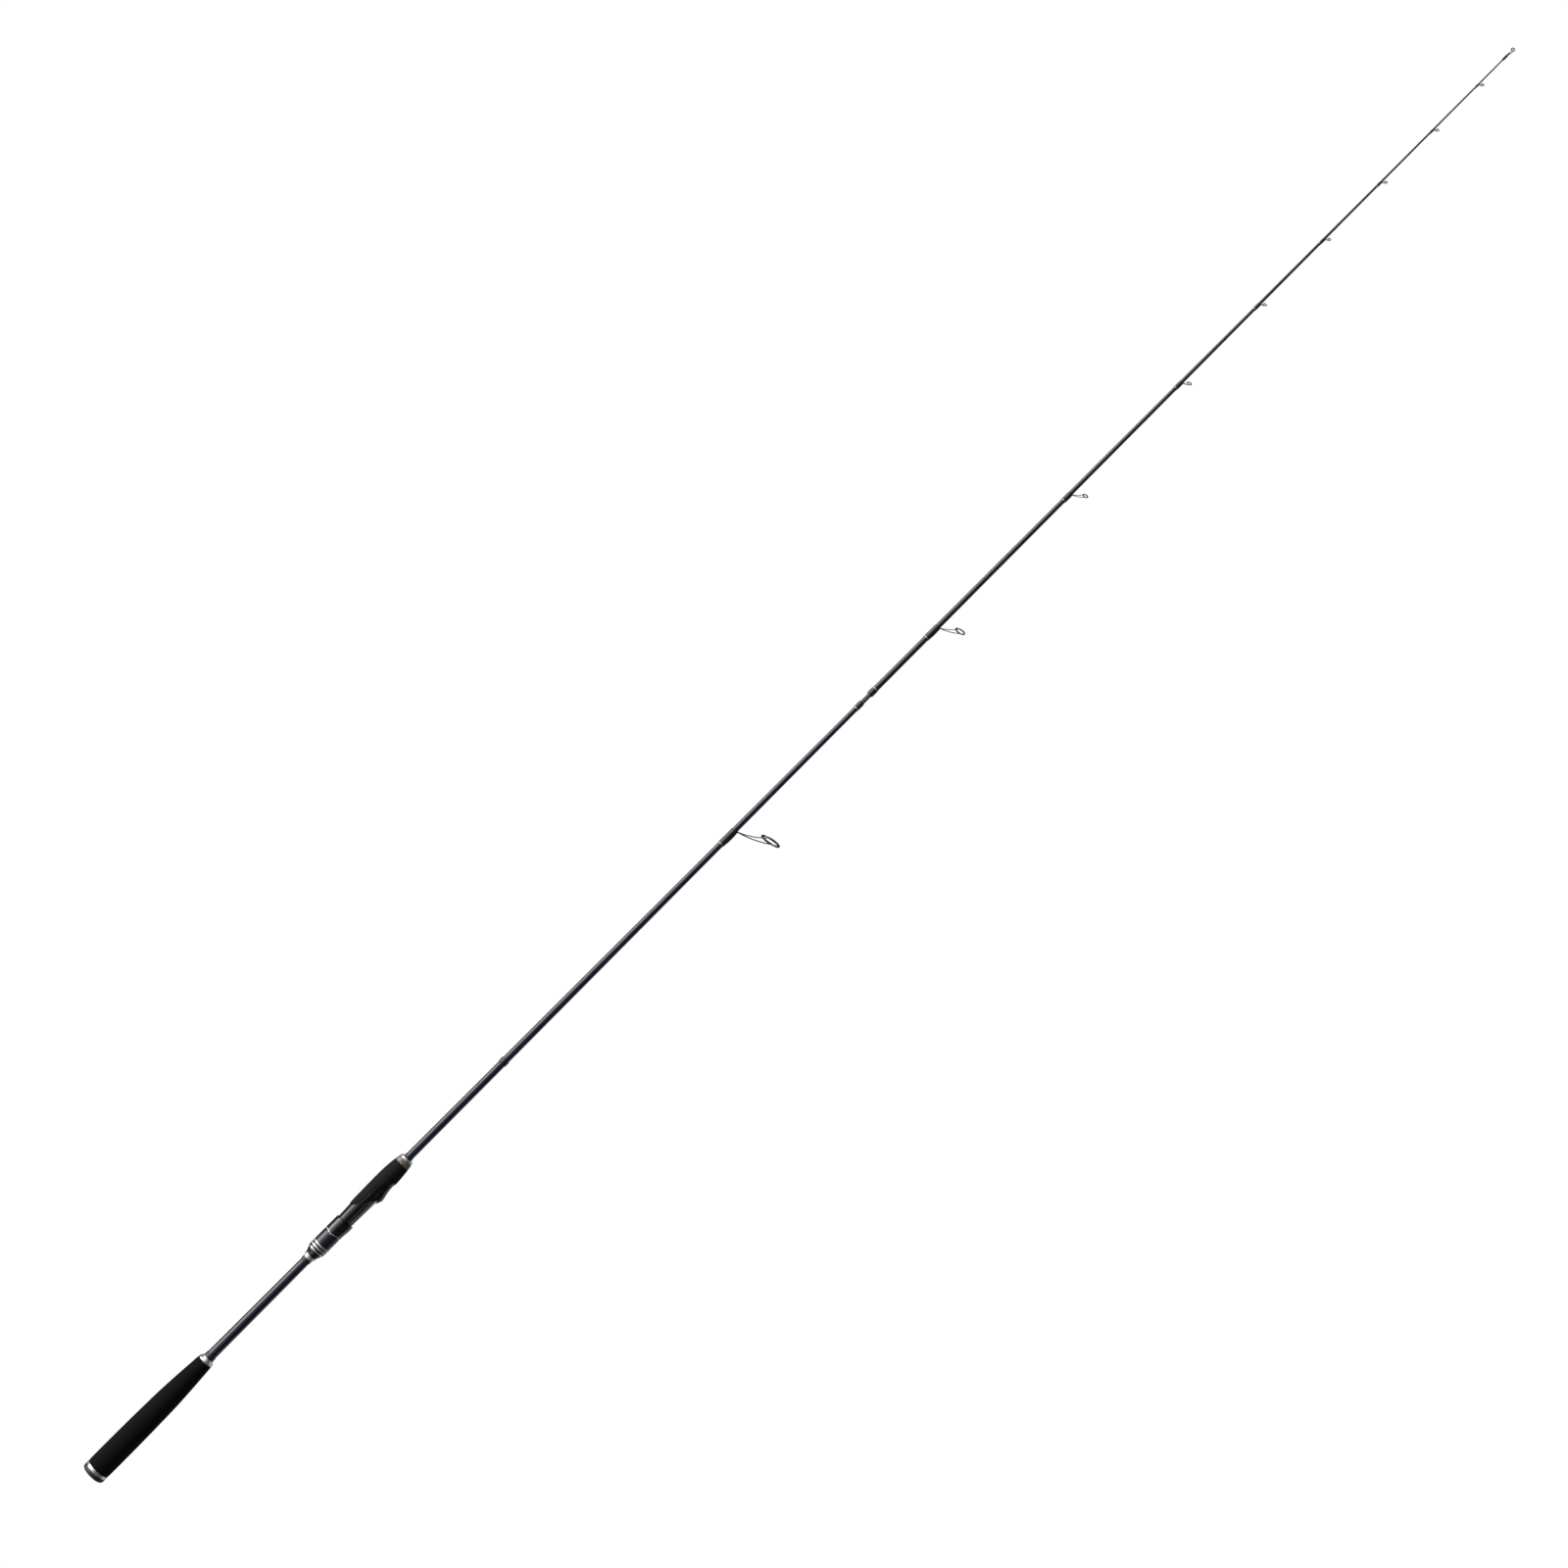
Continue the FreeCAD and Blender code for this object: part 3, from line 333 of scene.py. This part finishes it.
# ---------------------------------------------------------------- windings
THREAD_PITCH = 0.5
THREAD_RELIEF = 0.035
WINDING_SEGMENTS = 40
# how far each guide's winding swells over the guide's foot, from the butt to the tip
FOOT_LIFTS = [1.25, 0.8, 0.75, 0.5, 0.42, 0.40, 0.38, 0.36, 0.34]


def ends_of(node):
    """Where a CAD node starts and ends along the rod."""
    low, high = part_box(node)
    return low[0] / MM, high[0] / MM


def turn_height(x, start):
    """From 0 between two turns of thread to 1 on top of one."""
    return 0.5 + 0.5 * math.cos(TAU * (x - start) / THREAD_PITCH)


def winding(name, node, body, cover, bulges=()):
    """Close turns of thread under epoxy, tapering off at both ends.

    cover is the thickness, and each bulge is (place, reach, angle, height, spread).
    """
    start, end = ends_of(node)
    rows = []
    for x in spaced(start, end, THREAD_PITCH / 4):
        edge = min(smooth_step((x - start) / 1.2), smooth_step((end - x) / 0.9))
        level = blank_radius(x) + 0.04 + (cover + THREAD_RELIEF * turn_height(x, start)) * edge
        swells = [(angle, height * max(0.0, 1 - ((x - place) / reach) ** 2) ** 1.2, spread)
                  for place, reach, angle, height, spread in bulges if abs(x - place) < reach]

        def swollen(a, r):
            for angle, height, spread in swells:
                r += height * math.exp(-(math.remainder(a - angle, TAU) / spread) ** 2)
            return r
        rows.append(circle_row(x, level, WINDING_SEGMENTS, swollen))
    bore = [circle_row(x, blank_radius(x) - 0.25, WINDING_SEGMENTS) for x in (end, start)]
    return loft(name, rows + bore, THREAD, body, [node], closed=True, sharp=60)


def band(name, start, width, body, lift):
    """A thin metallic trim winding that stands lift above the blank."""
    end, r, bevel = start + width, blank_radius(start) + lift, 0.12
    outline = [(start, r - 0.6), (start, r - bevel), (start + 0.15, r), (end - 0.15, r), (end, r - bevel),
               (end, r - 0.6)]
    return turned(name, outline, TRIM, body, soft=0, segments=48)


def make_guide_windings():
    for i, lift in enumerate(FOOT_LIFTS, 1):
        body = "butt_section" if i == 1 else "tip_section"
        node = f"guide_{i}_wrap"
        start, end = ends_of(node)
        length = end - start
        cover = 0.42 if i < 3 else 0.30 if i < 5 else 0.22
        over_foot = [((start + end) / 2 + length * 0.12, length * 0.62, math.pi, lift, 0.75)]
        winding(f"guide_{i}_winding", node, body, cover, over_foot)
        band(f"guide_{i}_trim", start + 0.9, 0.8, body, cover + 0.12)


def make_ferrule_windings():
    start = ends_of("ferrule_wrap_butt")[0]
    winding("ferrule_winding_butt", "ferrule_wrap_butt", "butt_section", 0.5)
    band("ferrule_trim_butt", start + 1.2, 0.9, "butt_section", 0.62)
    end = ends_of("ferrule_wrap_tip")[1]
    winding("ferrule_winding_tip", "ferrule_wrap_tip", "tip_section", 0.5)
    band("ferrule_trim_tip", end - 2.2, 0.9, "tip_section", 0.62)


def make_handle_windings():
    for place in ("rear_grip", "seat_rear", "seat_front"):
        winding(f"{place}_winding", f"{place}_wrap", "butt_section", 0.5)
    start, end = ends_of("thread_band")
    all_round = 50.0
    ridges = [((start + end) / 2 + away, 1.6, 0.0, 0.45, all_round) for away in (-2.4, 0.0, 2.4)]
    winding("band_winding", "thread_band", "butt_section", 0.28, ridges)


def make_tip_top_winding():
    start, end = ends_of("tip_top_wrap")
    outline = []
    for x in spaced(start, end, THREAD_PITCH / 4):
        edge = min(smooth_step((x - start) / 0.9), smooth_step((end - x) / 0.7))
        outline.append((x, 1.45 + (0.36 + 0.03 * turn_height(x, start)) * edge))
    outline += [(end, 1.15), (start, 0.6)]
    turned("tip_top_winding", outline, THREAD, "tip_section", ["tip_top_wrap"], soft=0,
           segments=WINDING_SEGMENTS)


# ---------------------------------------------------------------- grips and trims
CAP_END, RING_END, GRIP_END = 5.7, 9.6, 177.8
GRIP_RADII = [(RING_END, 14.9), (11.0, 15.2), (14, 15.3), (38, 15.35), (62, 15.25), (90, 14.85), (118, 14.2),
              (141, 12.95), (160, 11.6), (174, 10.55), (176.8, 10.25), (GRIP_END, 9.9)]
FINE = 96


def make_rear_grip():
    face = [(0.5, 0), (0.5, 5), (0.25, 9.6), (0.25, 10.2), (0.9, 10.5), (0.9, 11.1), (0.2, 11.4), (0.2, 12.6)]
    side = [(0.6, 14.2), (1.9, 15.1), (4.6, 15.25), (5.2, 14.95), (CAP_END, 14.95), (CAP_END, 0)]
    solid_turned("end_cap", face + side, RUBBER, "butt_section", ["butt_cap"], 0.4, FINE)
    ring = [(CAP_END, 7), (CAP_END, 14.8), (6.1, 15.15), (7.6, 15.22), (9.2, 15.15), (RING_END, 14.8),
            (RING_END, 7)]
    turned("end_ring", ring, CHROME, "butt_section", ["butt_ring"], 0.15, FINE)
    places = [RING_END, 10.2, 11] + spaced(14, 174, 4) + [175.4, 176.8, 177.4, GRIP_END]
    grip = [(x, eased(GRIP_RADII, x)) for x in places] + [(GRIP_END, 6.3), (RING_END, 6.8)]
    turned("rear_grip_foam", grip, FOAM, "butt_section", ["rear_grip"], 0, FINE)
    collar = [(GRIP_END, 6.2), (GRIP_END, 9.9), (178.3, 10.15), (179.4, 10.1), (180.6, 9.2), (182.2, 7.9),
              (183.2, 7.3), (183.4, 7.0), (183.4, 6.2)]
    turned("rear_grip_collar", collar, CHROME, "butt_section", ["rear_grip_check"], 0.2, FINE)


# piece, the CAD node that it stands for, finish, slot, softened corners, outline of (x, radius)
SEAT_TRIMS = [
    ("seat_rear_band", "seat_rear_trim", TRIM, "bright_metal", 0.3,
     [(344.6, 5.5), (344.6, 6.75), (347.3, 6.95), (347.3, 5.5)]),
    ("seat_rear_collar", "seat_rear_check", CHROME, "bright_metal", 0.25,
     [(347.3, 5.5), (347.3, 7.2), (347.7, 7.95), (349.2, 8.1), (349.6, 7.7), (349.6, 5.5)]),
    ("seat_tail", "seat_tail_cone", SEAT, "seat_gloss", 0.3,
     [(349.6, 5.5), (349.6, 7.6), (351.0, 8.3), (351.6, 8.15), (352.2, 8.75), (355.4, 10.0), (357.2, 10.4),
      (357.2, 5.5)]),
    ("seat_tail_disc", "seat_tail_ring", CHROME, "bright_metal", 0.2,
     [(357.2, 5.6), (357.2, 11.1), (357.7, 11.45), (358.6, 11.45), (359.0, 11.1), (359.0, 6.4)]),
    ("front_composite", "composite_ring", COMPOSITE, "composite", 0.3,
     [(501.5, 6), (501.5, 10.75), (504, 10.35), (508.2, 9.55), (508.4, 9.3), (508.4, 6)]),
    ("front_collar", "front_check", CHROME, "bright_metal", 0.25,
     [(508.4, 5.5), (508.4, 9.2), (508.9, 9.4), (510.2, 9.1), (511.2, 8.1), (511.4, 7.2), (511.4, 5.5)]),
]


def make_seat_trims():
    for name, node, material, slot, soft, outline in SEAT_TRIMS:
        turned(name, outline, material, "butt_section", [node], soft, FINE)


# ---------------------------------------------------------------- reel seat
THREAD_START, THREAD_END, THREAD_TURN = 359.0, 404.6, 2.0
THREAD_ROOT, THREAD_RIDGE = 9.9, 0.32
BED_START, BED_END = 389.0, 464.0
KEYWAY_END, KEYWAY_DEEP, KEYWAY_HALF = 424, 1.3, 1.6
GROOVE_START, GROOVE_END = 404, 451
WALL_RADII = [(405, 9.6), (406, 9.6), (406.4, 10.15), (409, 10.25), (424.5, 10.9), (432, 11.5), (467.6, 11.7)]
BED_RADII = [(BED_START, 9.9), (409, 10.2), (444, 11.0), (449.6, 11.0), (450.4, 9.6)]
# height of the lower edge of the polished side, from the middle towards the guides
SIDE_EDGE = [(389, -5.4), (436, -5.5), (439, -5.9), (443, -7.1), (446.5, -8.6), (449.5, -9.2)]
# the chin's outline below that edge: along and into the surface that faces VIEW
CHIN = [(0.4, 0.35), (1.0, 1.0), (1.7, 1.75), (2.4, 2.5), (3.0, 3.15), (3.25, 4.1), (3.6, 4.2), (3.75, 2.6)]
CHIN_LENGTH = 4.2
VIEW = math.radians(107)
BED_HALF = math.radians(44)
RIB_DEEP, RIB_WIDE = 0.22, math.radians(8)
SIDE_STEPS, BED_STEPS = 36, 24


def seat_radius(x):
    """Outer radius of the seat: a threaded barrel, then the shell that the foregrip sits on."""
    if x < THREAD_END:
        ridge = smooth_step(0.5 + 0.9 * math.sin(TAU * (x - 360) / THREAD_TURN))
        return THREAD_ROOT + THREAD_RIDGE * ridge
    return along(WALL_RADII, x)


def bed_radius(x):
    """Radius of the curved, ribbed bed, which drops to the pocket's floor inside the fixed hood."""
    return along(BED_RADII, x)


def seat_row(x):
    """One cross-section: a keyway on top, a polished side, a chin below its edge and the ribbed bed."""
    r = seat_radius(x)
    bedded = BED_START <= x <= BED_END
    bed = bed_radius(x) if bedded else r
    groove = smooth_step((x - GROOVE_START) / 1.0) * smooth_step((GROOVE_END - x) / 3.0)

    key = r - KEYWAY_DEEP if BED_START <= x <= KEYWAY_END else r
    slot = math.asin(KEYWAY_HALF / r)
    half = [(key, 0.0), (key, slot * 0.98), (r, slot * 1.02)]
    edge = math.acos(along(SIDE_EDGE, x) / r)
    half += [(r, slot * 1.02 + (edge - slot * 1.02) * i / SIDE_STEPS) for i in range(1, SIDE_STEPS + 1)]

    across, out = r * math.sin(edge - VIEW), r * math.cos(edge - VIEW)
    room = min(1.0, (bed * math.sin(BED_HALF) - across) / CHIN_LENGTH)
    for down, back in CHIN:
        m = across + down * room
        flush = math.sqrt(max(r * r - m * m, 0.01))
        w = flush + (out - back * room - flush) * groove
        half.append((math.hypot(m, w), VIEW + math.atan2(m, w)))

    start = half[-1][1]
    for i in range(1, BED_STEPS + 1):
        a = start + (math.pi - start) * i / BED_STEPS
        rib = RIB_DEEP * (0.5 - 0.5 * math.cos(TAU * (math.pi - a) / RIB_WIDE)) * groove if bedded else 0.0
        before = half[-1][0]
        half.append((before + (bed - rib - before) * (0.75 if i < 3 else 1.0), a))

    ring = [(size * math.cos(a), size * math.sin(a)) for size, a in half]
    mirrored = [(y, -z) for y, z in reversed(ring[1:-1])]
    return [(x, y, z) for y, z in ring + mirrored]


def make_seat():
    thread = THREAD_TURN / 8
    places = [THREAD_START] + spaced(359.2, 388.9, thread) + spaced(BED_START, 409, thread) + [409.5]
    places += spaced(410, KEYWAY_END, 2) + [424.1, 425, 425.6, 426.3, 427.1, 428, 430, 433]
    places += spaced(435, 452, 0.75) + spaced(454, 463.9, 2) + [BED_END, 464.1] + spaced(466, 480.5, 3)
    rows = [seat_row(x) for x in places]
    shell = loft("seat_shell", rows, SHELL, "butt_section", ["seat_body"], sharp=28)
    shell.data.materials.append(BED)
    for face in shell.data.polygons:
        x, y, z = (c / MM for c in face.center)
        if 406 < x < GROOVE_END and y < -7.0 and abs(z) < 7.2:
            face.material_index = 1


HUMP_RADII = [(445, 12.1), (448, 12.9), (451, 14.2), (453.6, 15.1), (456, 14.9), (460, 14.0), (465, 12.9),
              (470, 12.15), (474, 11.9)]
HUMP_HALF_WIDTHS = [(450, 9.0), (462, 9.3), (468, 7.6), (474, 4.0)]
HUMP_START, HUMP_END = 450, 474
POCKET_CEILING = [(HUMP_START, 12.9), (458, 12.9), (BED_END, 12.0), (464.1, 9.6), (HUMP_END, 9.4)]
POCKET_LOW, POCKET_HALF = 9.4, 7.4


def mouth_place(x, share):
    """The mouth slants: its middle lies ahead of x and its sides, share of 1 away, behind."""
    return x + (3.6 - 7.6 * abs(share) ** 1.72) * (1 - smooth_step((x - HUMP_START) / 9))


def make_fixed_hood():
    """The arch over the pocket that takes the front of the reel's foot."""
    steps = 16
    shares = [i / steps for i in range(-steps, steps + 1)]
    foot = 11.6
    rows = []
    for x in spaced(HUMP_START, HUMP_END, 1.0):
        wide = eased(HUMP_HALF_WIDTHS, x)
        row = []
        for share in shares:
            z = wide * share
            at = mouth_place(x, share)
            r = eased(HUMP_RADII, at)
            bulge = math.sqrt(max(0.0, 1 - share ** 4))
            base = math.sqrt(foot ** 2 - z * z)
            y = base + (math.sqrt(max(r * r - z * z, base * base)) - base) * bulge
            row.append((at, -y, z))
        ceiling = along(POCKET_CEILING, x)
        for share in reversed(shares):
            z = min(wide - 0.6, POCKET_HALF) * share
            y = max(POCKET_LOW, math.sqrt(ceiling ** 2 - z * z))
            row.append((mouth_place(x, share), -y, z))
        rows.append(row)
    loft("fixed_hood", rows, SHELL, "butt_section", [], sharp=40)


HOOD_TRIM_AT = 386.4
HOOD_RADIUS = 11.62
LIP_START = 404
HOOD_BORE_RADII = [(397, 10.65), (404.6, 11.02)]


def hood_edge(a):
    """How far the rear edge of the sliding hood waves along the rod at angle a."""
    a = abs(math.remainder(a, TAU))
    return -1.3 * math.exp(-((a - math.radians(97)) / 0.36) ** 2) + 1.1 * smooth_step((a - 1.9) / 0.9)


def from_guides(a):
    return abs(math.remainder(a - math.pi, TAU))


def lip_share(a):
    """1 on the lip over the reel's foot, 0 away from it."""
    return 1 - smooth_step((from_guides(a) - 0.52) / 0.3)


def ring_row(place, radius):
    """A loop round the X axis whose place and radius are functions of the angle."""
    turns = [TAU * j / FINE for j in range(FINE)]
    return [(place(a), radius(a) * math.cos(a), radius(a) * math.sin(a)) for a in turns]


def hood_outside(x, base):
    swell = smooth_step((x - 388) / 14)
    return ring_row(lambda a: x if x < LIP_START else x + 2.0 * lip_share(a),
                    lambda a: base + 1.0 * lip_share(a) * swell)


def hood_inside(x, base):
    """The bore, with the pocket for the rear of the reel's foot."""
    rise = smooth_step((x - 392.6) / 6)
    return ring_row(lambda a: x if x < LIP_START else x + 1.8 * lip_share(a),
                    lambda a: base + 1.2 * rise * (1 - smooth_step((from_guides(a) - 0.56) / 0.12)))


def make_sliding_hood():
    skirt = [(385.0, 10.98), (385.0, 11.2), (385.3, 11.35)]
    rows = [ring_row(lambda a, x=x: x, lambda a, r=r: r) for x, r in skirt]
    rows += [ring_row(lambda a: HOOD_TRIM_AT + hood_edge(a), lambda a: 11.35),
             ring_row(lambda a: HOOD_TRIM_AT + 0.5 + hood_edge(a), lambda a: HOOD_RADIUS)]
    rows += [hood_outside(x, HOOD_RADIUS) for x in (389.5, 391, 393, 395, 397, 399, 401, 402.6, 403.4)]
    rows += [hood_outside(x, r) for x, r in ((404.1, 11.54), (404.8, 11.36), (405.2, 11.18))]
    rows += [hood_inside(x, r) for x, r in ((405.1, 11.06), (404.6, 11.02))]
    bore = (403, 401, 399, 397.5, 396, 394.5, 393, 391.6)
    rows += [hood_inside(x, along(HOOD_BORE_RADII, x)) for x in bore]
    rows += [ring_row(lambda a: 391.4, lambda a: 10.95)]
    loft("hood_shell", rows, SEAT, "sliding_hood", ["sliding_hood"], closed=True, sharp=35)


def make_hood_trim():
    edge = [(-0.45, 11.3), (-0.45, 11.68), (-0.3, 11.8), (0.3, 11.8), (0.45, 11.68), (0.45, 11.3)]
    rows = [ring_row(lambda a, d=d: HOOD_TRIM_AT + d + hood_edge(a), lambda a, r=r: r) for d, r in edge]
    loft("hood_wave_trim", rows, TRIM, "sliding_hood", ["hood_trim"], closed=True, sharp=50)


NUT_SEGMENTS = 160
NUT_FLUTES, FLUTE_DEEP = 20, 0.03
NUT_REAR = [(359.3, 10.4), (359.3, 11.2), (359.7, 11.55), (361.2, 11.45), (363.4, 11.45), (365.4, 11.45),
            (367.6, 11.45), (368.2, 11.6), (369.2, 11.6)]
NUT_FRONT = [(382.6, 11.6), (384.0, 11.58), (384.5, 11.2), (384.6, 10.75), (390.4, 10.75), (390.6, 10.6),
             (390.6, 10.36), (359.5, 10.36)]


def fluted(a, r):
    return r - FLUTE_DEEP * max(0.0, math.cos(a * NUT_FLUTES)) ** 3


def make_lock_nut():
    rows = [circle_row(x, r, NUT_SEGMENTS) for x, r in NUT_REAR]
    rows += [circle_row(x, 11.601, NUT_SEGMENTS, fluted) for x in spaced(370.4, 381.5, 2.2)]
    rows += [circle_row(x, r, NUT_SEGMENTS) for x, r in NUT_FRONT]
    loft("nut_shell", rows, NUT, "lock_nut", ["lock_nut"], closed=True, sharp=38)
    ring = [(0, 11.3), (0, 11.7), (0.35, 11.88), (1.65, 11.88), (2, 11.7), (2, 11.3)]
    for i, start in enumerate((361.3, 365.5), 1):
        outline = [(start + x, r) for x, r in ring]
        turned(f"nut_trim_{i}", outline, TRIM, "lock_nut", ["nut_rings"], 0.15, FINE)


# ---------------------------------------------------------------- foregrip, pad and rim
SLEEVE_START, SLEEVE_CLOSED, SLEEVE_END = 425, 480, 501.5
# height of the foam's lower edge on both sides
BOUNDARY = [(SLEEVE_START, 10.2), (426, 7.6), (427.5, 5.0), (429.5, 2.4), (432, 0.3), (435, -0.6), (445, -0.9),
            (457, -1.3), (462, -2.3), (466.5, -4.0), (471.5, -7.9), (477, -11.2), (479.4, -12.45),
            (SLEEVE_CLOSED, -12.6)]
FOREGRIP_RADII = [(SLEEVE_START, 11.5), (428, 12.0), (435, 12.3), (470, 12.75), (482, 12.6), (492, 11.9),
                  (499, 11.15), (501, 10.85), (SLEEVE_END, 10.6)]


def make_foregrip():
    """Foam sleeve: whole round at its front, and cut to a flowing edge on both sides behind that."""
    rows = []
    count = 40
    places = [SLEEVE_START, 425.4] + spaced(426, 479, 1.0) + [479.4, 479.7, SLEEVE_CLOSED]
    places += spaced(482, 500, 2) + [501, SLEEVE_END]
    for x in places:
        r = eased(FOREGRIP_RADII, x)
        y = along(BOUNDARY, x) if x < SLEEVE_CLOSED else -r
        half = min(math.acos(max(-1.0, min(1.0, y / r))), math.pi - 0.004)
        open_edge = half < math.pi - 0.01
        loop = []
        for i in range(-count, count + 1):
            share = i / count
            to_edge = (1 - abs(share)) * half * r
            fall = 0.65 * math.exp(-(to_edge / 0.55) ** 2) if open_edge else 0.0
            loop.append((r - fall, share * half))
        bore = 11.0 if x < 478 else 6.6
        loop += [(bore, share * half / count) for share in range(count, -count - 1, -1)]
        rows.append([(x, s * math.cos(a), s * math.sin(a)) for s, a in loop])
    loft("foregrip_foam", rows, FRONT_FOAM, "butt_section", ["foregrip"], sharp=50)


PAD_START, PAD_END = 438, 449.6


def make_bed_pad():
    """Bright ribbed plate on the bed under the reel's foot, round behind and wider to the fixed hood."""
    rows = []
    steps = 30
    for x in spaced(PAD_START, PAD_END, 0.4):
        wide = math.radians(4 + 17 * math.sqrt((x - PAD_START) / (PAD_END - PAD_START)))
        level = bed_radius(x) + 0.2
        turns = [math.pi + wide * i / steps for i in range(-steps, steps + 1)]
        loop = [(level - 1, turns[0])]
        for a in turns:
            groove = 0.5 + 0.5 * math.cos(TAU * (a - math.pi) / math.radians(7))
            loop.append((level - 0.10 * groove, a))
        loop.append((level - 1, turns[-1]))
        rows.append([(x, r * math.cos(a), r * math.sin(a)) for r, a in loop])
    loft("foot_pad", rows, TRIM, "butt_section", ["foot_bed_pad"], sharp=40)


def make_seat_rim(name, side):
    """A fine raised bead on the shell, just below the foregrip's edge, side being 1 or -1."""
    bead, segments = 0.3, 10
    rows = []
    for x in spaced(425.4, 476, 0.8):
        r = seat_radius(x) + 0.16
        y = along(BOUNDARY, x) - 0.45
        middle = math.acos(max(-1.0, min(1.0, y / r)))
        row = []
        for j in range(segments):
            turn = TAU * j / segments
            reach, a = r + bead * math.cos(turn), middle + bead * math.sin(turn) / r
            row.append((x, reach * math.cos(a), side * reach * math.sin(a)))
        rows.append(row)
    loft(name, rows, SEAT, "butt_section", [], sharp=60)


# ---------------------------------------------------------------- carried-over CAD nodes
def finish_cad(name, material):
    """Gives a CAD node that stays on show its finish, on its object's own slots."""
    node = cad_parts[name]
    for place in node.material_slots:
        place.link = "OBJECT"
        place.material = material


def finish_nodes():
    carried = [f"guide_{i}" for i in range(1, len(FOOT_LIFTS) + 1)] + ["tip_top"]
    for place in carried:
        finish_cad(f"{place}_frame", STEEL)
        finish_cad(f"{place}_ring", CERAMIC)
    finish_cad("seat_arbor_rear", BOARD)
    finish_cad("seat_arbor_front", BOARD)


# ---------------------------------------------------------------- floor, lights and camera
def stage_mesh(name, corners, faces):
    """A lit sheet of the white set. The rod doesn't see it, so its own light comes from the lamps only."""
    mesh = bpy.data.meshes.new(name)
    mesh.from_pydata(corners, [], faces)
    sheet = bpy.data.objects.new(name, mesh)
    paper = new_finish(f"{name}_paper", (0, 0, 0), 1.0, Specular_IOR_Level=0.0, Emission_Color=(1, 1, 1, 1),
                       Emission_Strength=1.0)
    vary_roughness(paper, grain(paper, 40.0), 0.86, 0.94)
    mesh.materials.append(paper)
    bpy.context.scene.collection.objects.link(sheet)
    sheet.visible_diffuse = False
    sheet.visible_glossy = False
    sheet.visible_shadow = False


def make_floor():
    level = cad_low[2] - 0.0002
    half, overlap, top = 14.0, 0.5, 12.0
    corners = [(-half, -half), (half, -half), (half, half), (-half, half)]
    stage_mesh("floor", [(x, y, level) for x, y in corners], [(0, 1, 2, 3)])
    walls = [(x * 0.99, y * 0.99, z) for z in (level - overlap, top) for x, y in corners]
    sides = [(i, (i + 1) % 4, 4 + (i + 1) % 4, 4 + i) for i in range(4)]
    stage_mesh("backdrop", walls, sides)


LAMP_COLOUR = (0.94, 0.95, 1.0)
MIDDLE = Vector((1.35, 0, 0))
# name, degrees above the +Y side, distance, height and brightness of the lamps along the rod
SIDE_LAMPS = [("key", 34, 3.5, 1.9, 6.8), ("key_top", 60, 3.5, 1.3, 2.0), ("sky", 82, 3.5, 1.3, 0.7),
              ("floor_glow", 226, 3.0, 3.2, 0.5)]
# name and place of the lamps past each end, which light the rings and cones from the front and behind
END_LAMPS = [("end_rear", Vector((-2.6, 0.6, 2.2))), ("end_front", Vector((5.2, 0.6, 2.2)))]


def area_light(name, place, aim, long, high, radiance):
    """A soft panel that faces aim, with radiance as its brightness."""
    light = bpy.data.lights.new(name, "AREA")
    light.shape = "RECTANGLE"
    light.size = long
    light.size_y = high
    light.energy = radiance * math.pi * long * high
    light.color = LAMP_COLOUR
    lamp = bpy.data.objects.new(name, light)
    lamp.location = place
    lamp.rotation_mode = "QUATERNION"
    lamp.rotation_quaternion = (place - aim).to_track_quat("Z", "Y")
    lamp.visible_camera = False
    bpy.context.scene.collection.objects.link(lamp)


def make_lights():
    for name, elevation, distance, high, radiance in SIDE_LAMPS:
        a = math.radians(elevation)
        place = MIDDLE + Vector((0, math.cos(a), math.sin(a))) * distance
        area_light(name, place, MIDDLE, 6.0, high, radiance)
    for name, place in END_LAMPS:
        area_light(name, place, Vector((0.6, 0, 0)), 2.4, 2.4, 1.2)
    world = bpy.data.worlds.new("studio")
    world.use_nodes = True
    background = world.node_tree.nodes["Background"]
    background.inputs["Color"].default_value = (1, 1, 1, 1)
    background.inputs["Strength"].default_value = 0.06
    bpy.context.scene.world = world
    bpy.context.scene.view_settings.view_transform = "Standard"


TILT = math.radians(17)
TURN = math.radians(45.10)
DISTANCE = 2.395
CAMERA_AT = 0.7049
AIM = Vector((1.1827, -0.0031, 0))


def make_camera():
    """Looks down on the rod from a little to the guides' side, rolled so that the rod rises at 45 degrees."""
    place = Vector((CAMERA_AT, 0.0012 - DISTANCE * math.sin(TILT), DISTANCE * math.cos(TILT)))
    ahead = (AIM - place).normalized()
    level = (Vector((1, 0, 0)) - ahead * ahead.x).normalized()
    across = ahead.cross(level)
    right = level * math.cos(TURN) + across * math.sin(TURN)
    up = level * math.sin(TURN) - across * math.cos(TURN)
    lens = bpy.data.cameras.new("camera")
    lens.lens = 42.75
    lens.sensor_width = 36
    lens.clip_end = 60
    camera = bpy.data.objects.new("camera", lens)
    camera.matrix_world = Matrix((
        (right.x, up.x, -ahead.x, place.x),
        (right.y, up.y, -ahead.y, place.y),
        (right.z, up.z, -ahead.z, place.z),
        (0, 0, 0, 1)))
    bpy.context.scene.collection.objects.link(camera)
    bpy.context.scene.camera = camera


make_blanks()
make_guide_windings()
make_ferrule_windings()
make_handle_windings()
make_tip_top_winding()
make_rear_grip()
make_seat_trims()
make_seat()
make_fixed_hood()
make_sliding_hood()
make_hood_trim()
make_lock_nut()
make_foregrip()
make_bed_pad()
make_seat_rim("seat_rim_far", -1)
make_seat_rim("seat_rim_near", 1)
finish_nodes()
make_floor()
make_lights()
make_camera()
